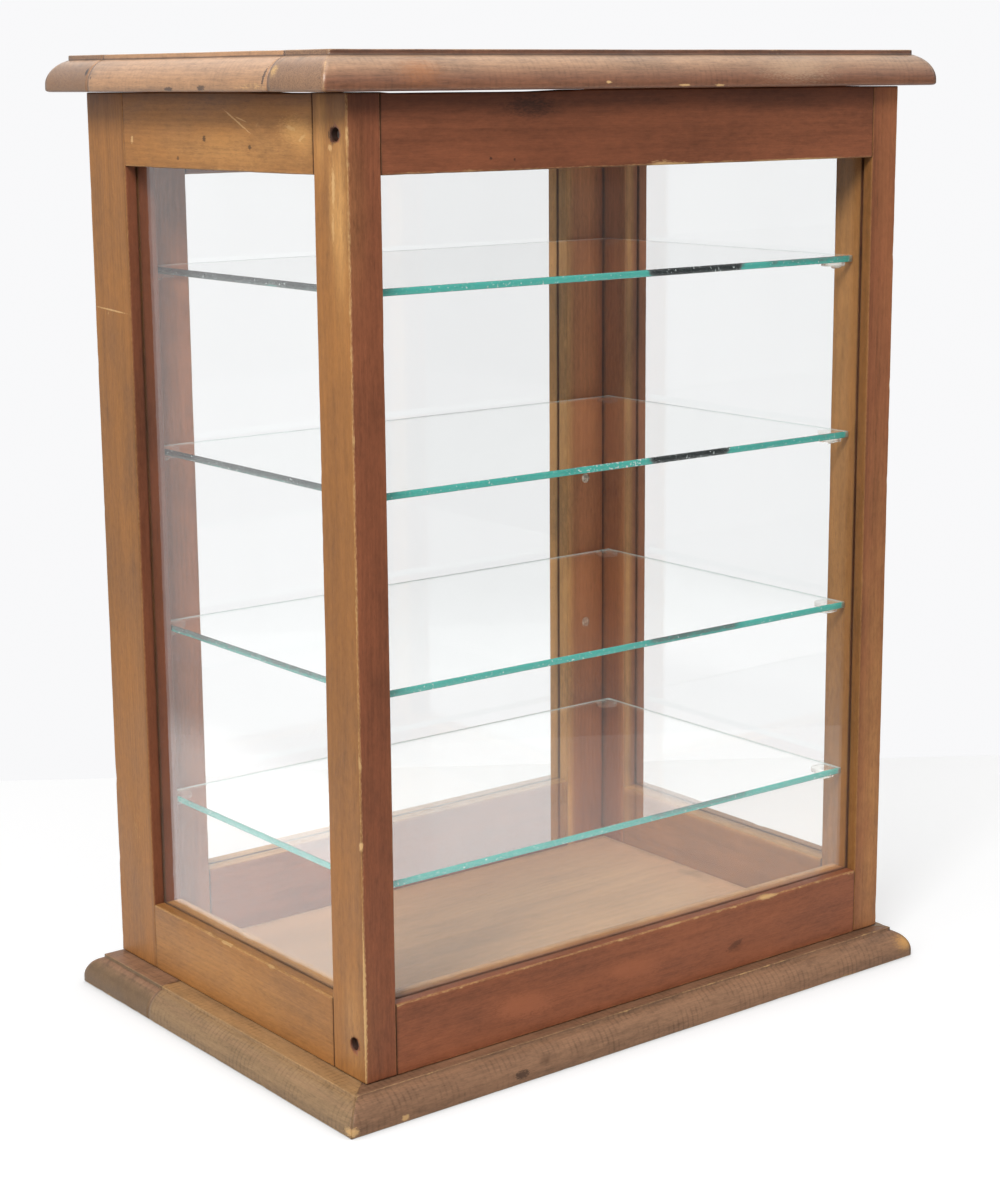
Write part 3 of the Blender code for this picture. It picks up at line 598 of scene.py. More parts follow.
# How the four corners of a moulded board draw in: on all sides, or on its outer sides only
DRAWN_ALL = ((1, 1), (-1, 1), (-1, -1), (1, -1))
DRAWN_FRONT = ((1, 1), (-1, 1), (-1, 0), (1, 0))
DRAWN_BACK = ((1, 0), (-1, 0), (-1, -1), (1, -1))
DRAWN_LEFT = ((1, 0), (0, 0), (0, 0), (1, 0))
DRAWN_RIGHT = ((0, 0), (-1, 0), (-1, 0), (0, 0))


def rectangle(x, y, drawn=DRAWN_ALL, worn=(0, 0, 0, 0)):
    """Corners for make_moulded, anticlockwise from the lowest x and y."""
    places = ((x[0], y[0]), (x[1], y[0]), (x[1], y[1]), (x[0], y[1]))
    return [place + way + (wear,) for place, way, wear in zip(places, drawn, worn)]


def make_moulded(
    name, along, corners, levels, seed, pith=(0.03, 0.04, 0.003), marks=(), bottom=0.0, calm=1.0
):
    """A moulded board: loops that follow a profile, one above the other.

    A corner is (x, y, dx, dy, worn): its place, the way it moves as the profile draws in, and how worn
    the arris there is. A level is (height, inset, rim, rub, soil).
    """
    counts = []
    for index, corner in enumerate(corners):
        after = corners[(index + 1) % len(corners)]
        length = math.hypot(after[0] - corner[0], after[1] - corner[1])
        counts.append(max(3, round(length / STATION)))
    points, rims, rubs, soils = [], [], [], []
    for height, inset, rim, rub, soil in levels:
        for index, corner in enumerate(corners):
            after = corners[(index + 1) % len(corners)]
            start = np.array([corner[0] + corner[2] * inset, corner[1] + corner[3] * inset])
            end = np.array([after[0] + after[2] * inset, after[1] + after[3] * inset])
            length = np.linalg.norm(end - start)
            for step in range(counts[index]):
                share = step / counts[index]
                share = share * share * (3 - 2 * share) * 0.35 + share * 0.65
                place = start + (end - start) * share
                points.append((place[0], place[1], bottom + height))
                near, worn = rim, rub
                if corner[4] > 0 and share * length < near:
                    near, worn = share * length, corner[4]
                if after[4] > 0 and (1 - share) * length < near:
                    near, worn = (1 - share) * length, after[4]
                rims.append(near)
                rubs.append(worn)
                soils.append(soil)
    points = np.array(points)
    mesh = lofted_mesh(name, points, sum(counts))
    rub = np.array(rubs) * wood().wear
    dress(mesh, along, points, np.array(rims), rub, np.array(soils), seed, pith, marks, calm)
    return place_object(name, mesh)


def cut(thing, cutters):
    """Cuts shapes out of a board. Their walls come out soiled."""
    bpy.context.view_layer.update()
    for cutter in cutters:
        mesh = cutter.data
        size = len(mesh.vertices)
        add_number(mesh, "soil", np.full(size, 1.0))
        add_number(mesh, "rim", np.full(size, RIM_FAR * 1000))
        modifier = thing.modifiers.new("cut", "BOOLEAN")
        modifier.operation = "DIFFERENCE"
        modifier.solver = "EXACT"
        modifier.object = cutter
    ready = thing.evaluated_get(bpy.context.evaluated_depsgraph_get())
    mesh = bpy.data.meshes.new_from_object(ready)
    thing.modifiers.clear()
    before = thing.data
    thing.data = mesh
    bpy.data.meshes.remove(before)
    for cutter in cutters:
        spare = cutter.data
        bpy.data.objects.remove(cutter)
        bpy.data.meshes.remove(spare)
    return thing


def turned_mesh(name, profile, place, axis, sides=48):
    """A turned shape: (distance, radius) along an axis."""
    turn = Vector((0, 0, 1)).rotation_difference(Vector(axis)).to_matrix()
    vertices = []
    for distance, radius in profile:
        for side in range(sides):
            angle = 2 * math.pi * side / sides
            local = Vector((radius * math.cos(angle), radius * math.sin(angle), distance))
            vertices.append(tuple(turn @ local + Vector(place)))
    return new_mesh(name, vertices, loop_faces(sides, len(profile)))


def box_object(name, lowest, highest):
    bm = bmesh.new()
    bmesh.ops.create_cube(bm, size=1)
    size = Vector(highest) - Vector(lowest)
    middle = (Vector(highest) + Vector(lowest)) / 2
    bmesh.ops.transform(bm, matrix=Matrix.Translation(middle) @ Matrix.Diagonal((*size, 1)), verts=bm.verts)
    mesh = bpy.data.meshes.new(name)
    bm.to_mesh(mesh)
    bm.free()
    return place_object(name, mesh)


# Materials

class Nodes:
    """Adds nodes to a tree, one line for each step."""

    def __init__(self, tree):
        self.tree = tree

    def put(self, socket, value):
        for source in value if isinstance(value, list) else [value]:
            if isinstance(source, bpy.types.NodeSocket):
                self.tree.links.new(source, socket)
            else:
                socket.default_value = source

    def node(self, kind, inputs=None, **settings):
        node = self.tree.nodes.new(kind)
        for key, value in settings.items():
            setattr(node, key, value)
        for key, value in (inputs or {}).items():
            self.put(node.inputs[key], value)
        return node

    def math(self, operation, first, second=0.0, clamp=False):
        node = self.node("ShaderNodeMath", {0: first, 1: second}, operation=operation, use_clamp=clamp)
        return node.outputs[0]

    def times(self, first, second, clamp=False):
        return self.math("MULTIPLY", first, second, clamp)

    def plus(self, first, second, clamp=False):
        return self.math("ADD", first, second, clamp)

    def less(self, first, second):
        return self.math("SUBTRACT", first, second)

    def most(self, first, second):
        return self.math("MAXIMUM", first, second)

    def sway(self, value, amount):
        """A field from 0 to 1, made to swing about 0."""
        return self.times(self.less(value, 0.5), amount)

    def mix(self, factor, first, second, blend="MIX"):
        colours = []
        for colour in (first, second):
            plain = not isinstance(colour, bpy.types.NodeSocket)
            colours.append(tuple(colour)[:3] + (1,) if plain else colour)
        inputs = {0: factor, 6: colours[0], 7: colours[1]}
        return self.node("ShaderNodeMix", inputs, data_type="RGBA", blend_type=blend).outputs[2]

    def noise(self, vector, scale, detail=2.0, roughness=0.5):
        """Noise with a scale of its own along each axis."""
        scaled = self.node("ShaderNodeVectorMath", {0: vector, 1: scale}, operation="MULTIPLY").outputs[0]
        inputs = {"Vector": scaled, "Scale": 1.0, "Detail": detail, "Roughness": roughness}
        return self.node("ShaderNodeTexNoise", inputs).outputs["Fac"]

    def ramp(self, value, start, end):
        inputs = {"Value": value, "From Min": start, "From Max": end}
        return self.node("ShaderNodeMapRange", inputs, interpolation_type="SMOOTHSTEP").outputs["Result"]

    def tones(self, value, colours):
        """A colour ramp: stops of (place, colour)."""
        node = self.node("ShaderNodeValToRGB", {"Fac": value})
        stops = node.color_ramp.elements
        while len(stops) < len(colours):
            stops.new(0.5)
        for stop, (place, colour) in zip(stops, colours):
            stop.position = place
            stop.color = tuple(colour)[:3] + (1,)
        return node.outputs["Color"]

    def figured(self, value, colour, dark=0.62, light=1.32):
        """A wood colour that goes from dark to light with the figure's value."""
        return self.tones(value, [(0.0, shade(colour, dark)), (0.5, colour), (1.0, shade(colour, light))])

    def field(self, name, kind="Fac"):
        return self.node("ShaderNodeAttribute", attribute_name=name).outputs[kind]

    def mark(self, place, centre, reach, turn=(0, 0, 0)):
        """How far a place is from a mark: 0 at its centre, 1 at its edge."""
        inputs = {"Vector": place, "Location": centre, "Rotation": turn, "Scale": reach}
        return self.length(self.node("ShaderNodeMapping", inputs, vector_type="TEXTURE").outputs[0])

    def length(self, vector):
        return self.node("ShaderNodeVectorMath", {0: vector}, operation="LENGTH").outputs["Value"]

    def parts(self, vector):
        return self.node("ShaderNodeSeparateXYZ", {0: vector}).outputs

    def object_place(self):
        return self.node("ShaderNodeTexCoord").outputs["Object"]

    def path(self):
        return self.node("ShaderNodeLightPath").outputs

    def light(self, kind, strength, colour=(1, 1, 1)):
        """An Emission or a Background."""
        inputs = {"Color": tuple(colour) + (1,), "Strength": strength}
        return self.node("ShaderNode" + kind, inputs).outputs[0]

    def blend(self, factor, first, second):
        return self.node("ShaderNodeMixShader", {0: factor, 1: first, 2: second}).outputs[0]

    def both(self, first, second):
        return self.node("ShaderNodeAddShader", {0: first, 1: second}).outputs[0]


class Shader(Nodes):
    """One material, with a Principled surface."""

    def __init__(self, name):
        self.material = bpy.data.materials.new(name)
        self.material.use_nodes = True
        super().__init__(self.material.node_tree)
        self.tree.nodes.clear()
        self.output = self.tree.nodes.new("ShaderNodeOutputMaterial")
        self.surface = self.tree.nodes.new("ShaderNodeBsdfPrincipled")
        self.plain = self.surface.outputs[0]
        self.show(self.plain)

    def show(self, socket):
        self.tree.links.new(socket, self.output.inputs["Surface"])

    def set(self, name, value):
        if not isinstance(value, bpy.types.NodeSocket) and hasattr(value, "__len__"):
            value = tuple(value)[:3] + (1,)
        self.put(self.surface.inputs[name], value)

    def bump(self, height, distance, strength):
        inputs = {"Height": height, "Distance": distance, "Strength": strength}
        self.set("Normal", self.node("ShaderNodeBump", inputs).outputs["Normal"])


def shade(colour, amount):
    return tuple(min(1, part * amount) for part in tuple(colour)[:3])


def wood_material(
    name, front, side, ring_contrast=0.15, gloss=0.46, chatter=0.0, sheen=0.24, relief=0.4, marks=(),
    upper=None, contrast=1.0,
):
    """Stained wood: growth rings, streaks, fibres and pores, pale rubbed arrises, soil in the joints."""
    look = wood()
    s = Shader(name)
    grain = s.field("grain", "Vector")
    fibre = s.noise(grain, (60, 1300, 1300), 3)
    speck = s.noise(grain, (420, 1500, 1500), 2)
    fleck = s.noise(grain, (130, 420, 420), 2, 0.6)
    streak = s.noise(grain, (4, 150, 150), 3)
    blotch = s.noise(grain, (14, 34, 34), 4, 0.6)
    cloud = s.noise(grain, (5, 11, 11), 2)
    patch = s.noise(grain, (40, 70, 70), 4, 0.65)
    pore = s.noise(grain, (150, 2300, 2300), 1)
    butt = s.ramp(s.field("butt"), 0.45, 0.85)
    drift = s.sway(streak, 1.5)
    turns = s.plus(s.math("DIVIDE", s.field("ring"), look.ring_spacing), drift)
    ring = s.math("SINE", s.times(turns, 2 * math.pi))
    ring = s.times(ring, s.ramp(cloud, 0.30, 0.62))
    value = s.times(ring, ring_contrast * 0.5)
    fine = ((fibre, 0.42), (speck, 0.36), (fleck, 0.55))
    broad = ((streak, 0.55), (blotch, 0.95), (cloud, 0.55))
    for field, amount in fine + broad:
        value = s.plus(value, s.sway(field, amount * contrast))
    if chatter > 0:
        length = s.parts(grain)[0]
        wander = s.times(blotch, 3.0)
        ripple = s.math("SINE", s.plus(s.times(length, 2 * math.pi / 0.0044), wander))
        ripple = s.times(s.ramp(ripple, 0.1, 1.0), s.ramp(patch, 0.40, 0.60))
        value = s.less(value, s.times(ripple, chatter))
    value = s.plus(value, 0.5, clamp=True)
    stained = s.figured(value, front, 0.58, 1.36)
    # Painted light: faces that look left take the lighter side colour
    left_lit_colour = s.figured(value, side)
    colour = s.mix(s.ramp(s.field("fade"), 0.35, 0.9), stained, left_lit_colour)
    # Painted highlight: faces that look up take the lighter upper colour
    if upper is not None:
        pale_layer = s.figured(value, upper)
        colour = s.mix(s.ramp(s.field("upward"), 0.1, 0.85), colour, pale_layer)
    # Painted light inside the case: faces that look inward take the lighter inner colour
    inner_lit_colour = s.figured(value, look.inside, 0.6)
    colour = s.mix(s.ramp(s.field("indoors"), 0.3, 0.9), colour, inner_lit_colour)
    # Painted shade: where dim is set the colour is darkened, standing in for shade under the top's overhang,
    # in reveals, low inside the case and on the floor board; a few of these marks are a darker stain
    colour = s.mix(s.field("dim"), colour, s.mix(1.0, colour, (0.44, 0.39, 0.37), "MULTIPLY"))
    dark_end = s.mix(s.ramp(speck, 0.40, 0.66), shade(side, 0.60), shade(front, 0.42))
    colour = s.mix(s.times(butt, 0.72), colour, dark_end)
    raw = s.times(s.field("raw"), s.plus(s.times(patch, 1.3), 0.25), clamp=True)
    light = s.tones(value, [(0.1, shade(look.raw, 0.66)), (0.5, look.raw), (0.9, shade(look.raw, 1.2))])
    colour = s.mix(raw, colour, light)
    dashes = s.times(s.ramp(pore, 0.61, 0.74), 0.34)
    colour = s.mix(dashes, colour, shade(front, 0.42))
    reach = s.times(s.ramp(patch, 0.52, 0.80), 2.4)
    reach = s.times(s.field("rub"), s.plus(reach, 0.12))
    ragged = s.times(s.less(speck, 0.55), 1.3)
    over = s.less(s.plus(reach, ragged), s.field("rim"))
    rubbed = s.times(s.ramp(over, -0.45, 0.75), s.ramp(s.field("rub"), 0.02, 0.5))
    bare = s.plus(s.field("bare"), s.sway(patch, 1.1))
    bare = s.plus(bare, s.sway(speck, 0.9))
    bare = s.times(s.ramp(bare, 0.38, 0.78), s.ramp(s.field("bare"), 0.05, 0.4))
    worn = s.most(rubbed, bare)
    pale = s.tones(fibre, [(0.3, shade(look.worn, 0.66)), (0.7, look.worn)])
    colour = s.mix(s.times(worn, 0.8), colour, pale)
    dirt = s.plus(s.field("soil"), s.sway(patch, 0.5))
    dirt = s.times(s.ramp(dirt, 0.12, 0.85), s.ramp(s.field("soil"), 0.02, 0.2))
    colour = s.mix(s.times(dirt, 0.88), colour, look.soil)
    tints = {"pale": look.worn, "dark": look.soil, "stain": look.soil, "golden": look.raw}
    tints.update({"glow": shade(front, 1.55), "amber": srgb(190, 116, 58), "dust": srgb(214, 180, 146)})
    place = s.object_place()
    for kind, centre, reach, turn, amount in marks:
        away = s.plus(s.mark(place, centre, reach, turn), s.sway(speck, 1.6))
        inner = {"pale": 0.6, "dark": 0.6, "glow": 0.5}.get(kind, 0.0)
        cover = s.times(s.less(1.0, s.ramp(away, inner, 1.15)), amount)
        colour = s.mix(cover, colour, tints[kind])
    s.set("Base Color", colour)
    rough = s.plus(s.sway(blotch, 0.35), gloss)
    rough = s.plus(rough, s.times(s.most(worn, dirt), 0.22), clamp=True)
    s.set("Roughness", rough)
    s.set("Specular IOR Level", sheen)
    height = s.plus(fibre, s.times(ring, 0.08))
    height = s.less(height, s.times(s.ramp(pore, 0.61, 0.74), 0.7))
    height = s.plus(height, s.times(patch, 0.4))
    s.bump(height, 0.00014, relief)
    return s.material


def clear_material(name, tint, haze, rough=0.0, low_haze=0.0):
    """Clear glass that lets lamps and bounced light through, with a little dust on it and a milky low band,
    a painted reflection of the floor.
    """
    s = Shader(name)
    place = s.object_place()
    smear = s.noise(place, (9, 9, 3.5), 3, 0.55)
    height = s.parts(place)[2]
    s.set("Base Color", tint)
    s.set("Transmission Weight", 1.0)
    s.set("IOR", 1.5)
    s.set("Roughness", rough)
    path = s.path()
    through = s.most(path["Is Shadow Ray"], path["Is Diffuse Ray"])
    clear = s.node("ShaderNodeBsdfTransparent", {"Color": (0.975, 0.98, 0.978, 1)}).outputs[0]
    film = s.node("ShaderNodeBsdfDiffuse", {"Color": (0.82, 0.81, 0.79, 1)}).outputs[0]
    # Painted reflection: a milky band that rises towards the bottom of a pane, for the pale floor mirrored
    # in it
    low_band = s.less(1.0, s.ramp(height, 0.05, 0.30))
    amount = s.plus(s.ramp(smear, 0.30, 0.78), s.times(low_band, low_haze))
    amount = s.times(amount, haze)
    pale_layer = s.blend(amount, s.plain, film)
    s.show(s.blend(through, pale_layer, clear))
    return s.material


def shelf_edge_material(name):
    """Ground edge of sheet glass: light green-blue, deep green in places, bright nicks; partly painted light
    and shade.
    """
    look = glass()
    s = Shader(name)
    place = s.object_place()
    long = s.noise(place, (16, 16, 2), 2)
    fine = s.noise(place, (240, 240, 500), 2)
    nick = s.noise(place, (620, 620, 800), 1)
    shadow = s.plus(s.field("shadow"), s.sway(long, 0.5))
    shadow = s.plus(shadow, s.sway(fine, 0.3))
    tone = s.ramp(shadow, 0.10, 1.0)
    light, grey = shade(look.edge, 1.25), srgb(96, 112, 108)
    colour = s.tones(tone, [(0.0, light), (0.3, look.edge), (0.65, grey), (1.0, look.edge_dark)])
    # Painted light: the far edges are paler
    colour = s.mix(s.field("pale"), colour, (0.72, 0.78, 0.77))
    nick = s.plus(nick, s.times(s.field("chip"), 0.10))
    nicked = s.ramp(nick, 0.68, 0.76)
    colour = s.mix(s.times(nicked, 0.8), colour, (0.86, 0.93, 0.91))
    s.set("Base Color", colour)
    s.set("Roughness", s.plus(s.times(fine, 0.25), 0.12))
    s.set("IOR", 1.5)
    s.set("Coat Weight", 0.5)
    s.bump(fine, 0.0001, 0.4)
    return s.material


def metal_material(name, colour, rough, tarnish, metallic=1.0):
    """Handled metal: tarnish in blotches, fine scratches, uneven gloss."""
    s = Shader(name)
    place = s.object_place()
    blotch = s.noise(place, (260, 260, 260), 4, 0.6)
    scratch = s.noise(place, (900, 900, 140), 3)
    s.set("Metallic", metallic)
    tone = s.plus(s.times(blotch, 0.75), s.times(scratch, 0.25))
    s.set("Base Color", s.tones(tone, [(0.30, tarnish), (0.52, colour), (0.72, shade(colour, 1.25))]))
    s.set("Roughness", s.plus(s.sway(blotch, 0.5), rough, clamp=True))
    s.bump(s.plus(blotch, scratch), 0.00005, 0.5)
    return s.material


def once(name, maker, *values, **options):
    """The material of that name, made the first time that it is asked for."""
    return bpy.data.materials.get(name) or maker(name, *values, **options)


def frame_wood():
    look = wood()
    return once(
        "stained_frame_wood", wood_material, look.stain, look.left_lit_colour, marks=FRAME_MARKS, contrast=1.15
    )


def top_wood():
    look = wood()
    return once(
        "top_moulding_wood", wood_material, look.top_front, look.top_side, marks=TOP_MARKS,
        upper=look.top_lit_upper, ring_contrast=0.20, gloss=0.34, chatter=0.16, sheen=0.5, contrast=1.5,
    )


def base_wood():
    look = wood()
    return once(
        "base_moulding_wood", wood_material, look.base_front, look.base_side, marks=BASE_MARKS,
        ring_contrast=0.16, gloss=0.52, chatter=0.26, contrast=1.4,
    )


def floor_wood():
    look = wood()
    return once(
        "floor_board_wood", wood_material, look.floor, look.floor,
        ring_contrast=0.10, gloss=0.5, relief=0.1, contrast=0.5,
    )


def pane_glass():
    return once("clear_pane_glass", clear_material, glass().pane, haze=0.010, low_haze=2.5)


def shelf_glass():
    return once("clear_shelf_glass", clear_material, glass().shelf, haze=0.003)


def shelf_edge_glass():
    return once("shelf_edge_glass", shelf_edge_material)


def peg_plastic():
    return once("clear_peg_plastic", clear_material, glass().peg, haze=0.30, rough=0.06)


def brass_metal():
    return once("aged_brass", metal_material, fittings().brass, 0.36, srgb(96, 66, 34))


def steel_metal():
    return once("dull_steel", metal_material, fittings().steel, 0.4, srgb(84, 70, 60))


def nickel_metal():
    return once("pale_nickel", metal_material, fittings().nickel, 0.3, srgb(120, 108, 92), 0.35)


# Geometry Nodes

class Tree(Nodes):
    """A Geometry Nodes tree that puts a shape on points."""

    def __init__(self, name, inputs):
        super().__init__(bpy.data.node_groups.new(name, "GeometryNodeTree"))
        self.tree.interface.new_socket("Geometry", in_out="INPUT", socket_type="NodeSocketGeometry")
        self.sockets = {}
        for label, kind, value in inputs:
            socket = self.tree.interface.new_socket(label, in_out="INPUT", socket_type=kind)
            if value is not None:
                socket.default_value = value
            self.sockets[label] = socket
        self.tree.interface.new_socket("Geometry", in_out="OUTPUT", socket_type="NodeSocketGeometry")
        self.inputs = self.tree.nodes.new("NodeGroupInput").outputs
        self.output = self.tree.nodes.new("NodeGroupOutput").inputs[0]

    def made(self, kind, inputs, **settings):
        return self.node("GeometryNode" + kind, inputs, **settings).outputs[0]

    def vector(self, x=0.0, y=0.0, z=0.0):
        return self.node("ShaderNodeCombineXYZ", {0: x, 1: y, 2: z}).outputs[0]

    def moved(self, geometry, place, turn=(0, 0, 0)):
        inputs = {"Geometry": geometry, "Translation": place, "Rotation": turn}
        return self.made("Transform", inputs)

    def solid(self, operation, meshes):
        return self.made("MeshBoolean", meshes, operation=operation, solver="EXACT")

    def finish(self, points, shape, rotation):
        """Shape on every point, realized, with the material input set on it."""
        inputs = {"Points": points, "Instance": shape, "Rotation": rotation}
        instances = self.made("InstanceOnPoints", inputs)
        real = self.made("RealizeInstances", {"Geometry": instances})
        inputs = {"Geometry": real, "Material": self.inputs["Material"]}
        done = self.made("SetMaterial", inputs)
        self.tree.links.new(done, self.output)

    def run(self, name, points, directions, values):
        """Runs the tree on loose points, each with its direction, and returns a plain mesh object."""
        mesh = new_mesh(name + "_points", points, [])
        add_vector(mesh, "direction", directions)
        carrier = place_object(name + "_points", mesh)
        modifier = carrier.modifiers.new("shape", "NODES")
        modifier.node_group = self.tree
        for label, value in values.items():
            modifier[self.sockets[label].identifier] = value
        bpy.context.view_layer.update()
        ready = carrier.evaluated_get(bpy.context.evaluated_depsgraph_get())
        result = bpy.data.meshes.new_from_object(ready)
        result.name = name
        bpy.data.objects.remove(carrier)
        bpy.data.meshes.remove(mesh)
        if not result.polygons:
            raise RuntimeError(f"{name}: the tree made no faces")
        return place_object(name, result)

    def facing(self, axis):
        """A rotation that turns one axis of the shape to each point's direction."""
        named = self.node("GeometryNodeInputNamedAttribute", {"Name": "direction"}, data_type="FLOAT_VECTOR")
        node = self.node("FunctionNodeAlignRotationToVector", {"Vector": named.outputs[0]}, axis=axis)
        return node.outputs[0]


def screw_tree():
    """A slotted countersunk head whose flat face looks along +Z."""
    inputs = [
        ("Head Radius", "NodeSocketFloat", 0.0025),
        ("Head Height", "NodeSocketFloat", 0.002),
        ("Material", "NodeSocketMaterial", None),
    ]
    t = Tree("slotted_screws", inputs)
    radius, height = t.inputs["Head Radius"], t.inputs["Head Height"]
    cone_inputs = {
        "Vertices": 24,
        "Radius Top": radius,
        "Radius Bottom": t.times(radius, 0.45),
        "Depth": height,
    }
    cone = t.made("MeshCone", cone_inputs)
    head = t.moved(cone, t.vector(z=t.times(height, -1.0)))
    dome_inputs = {"Segments": 24, "Rings": 8, "Radius": radius}
    dome = t.made("MeshUVSphere", dome_inputs)
    flat = t.made("Transform", {"Geometry": dome, "Scale": (1, 1, 0.18)})
    slot_size = t.vector(t.times(radius, 2.4), t.times(radius, 0.3), t.times(height, 0.9))
    slot = t.made("MeshCube", {"Size": slot_size})
    turned = t.moved(slot, (0, 0, 0.0002), (0, 0, 0.6))
    slotted = t.solid("DIFFERENCE", {"Mesh 1": t.solid("UNION", {"Mesh 2": [head, flat]}), "Mesh 2": turned})
    t.finish(t.inputs["Geometry"], slotted, t.facing("Z"))
    return t


def peg_tree():
    """A spoon peg: its pad reaches along +X under the shelf, its pin goes back into the post."""
    inputs = [
        ("Pad Width", "NodeSocketFloat", 0.014),
        ("Reach", "NodeSocketFloat", 0.016),
        ("Thickness", "NodeSocketFloat", 0.003),
        ("Pin Radius", "NodeSocketFloat", 0.0024),
        ("Pin Length", "NodeSocketFloat", 0.014),
        ("Material", "NodeSocketMaterial", None),
    ]
    t = Tree("clear_pegs", inputs)
    width, reach, thick = t.inputs["Pad Width"], t.inputs["Reach"], t.inputs["Thickness"]
    outline = t.made("CurvePrimitiveQuadrilateral", {"Width": reach, "Height": width})
    corner = t.times(width, 0.42)
    fillet_inputs = {"Curve": outline, "Count": 6, "Radius": corner}
    rounded = t.made("FilletCurve", fillet_inputs, mode="POLY")
    plate = t.made("FillCurve", {"Curve": rounded}, mode="NGONS")
    raised_inputs = {"Mesh": plate, "Offset Scale": thick, "Individual": False}
    raised = t.made("ExtrudeMesh", raised_inputs, mode="FACES")
    under = t.made("FlipFaces", {"Mesh": plate})
    joined = t.made("JoinGeometry", {"Geometry": [raised, under]})
    pad = t.made("MergeByDistance", {"Geometry": joined, "Distance": 0.00001})
    pad = t.moved(pad, t.vector(t.times(reach, 0.5), 0.0, t.times(thick, -1.0)))
    pin_inputs = {"Vertices": 20, "Radius": t.inputs["Pin Radius"], "Depth": t.inputs["Pin Length"]}
    pin = t.made("MeshCylinder", pin_inputs)
    drop = t.times(t.inputs["Pin Radius"], -1.1)
    pin = t.moved(pin, t.vector(0.001, 0.0, drop), (0, math.pi / 2, 0))
    t.finish(t.inputs["Geometry"], t.solid("UNION", {"Mesh 2": [pad, pin]}), t.facing("X"))
    return t


# The pieces

def frame_board(
    name, axis, rubs, grooves, seed, pith, marks=(), span=None, body="case", cutters=(), **options
):
    """A board of the frame or the door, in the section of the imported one.

    A groove is (side, pane, axis): the side of the section it is in, its pane, and the axis it is across.
    """
    across, through, along = SECTION_AXES[axis]
    lowest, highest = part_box(name)
    grooves = [(side, *pane_groove(pane, thin), GROOVE_DEPTH) for side, pane, thin in grooves]
    start, end = (lowest[across], lowest[through]), (highest[across], highest[through])
    corners = grooved_section(start, end, rubs, grooves)
    span = span or (lowest[along], highest[along])
    board = make_board(name, axis, span, corners, seed, pith, marks, **options)
    if cutters:
        cut(board, cutters)
    settle(board, body, frame_wood(), [name])


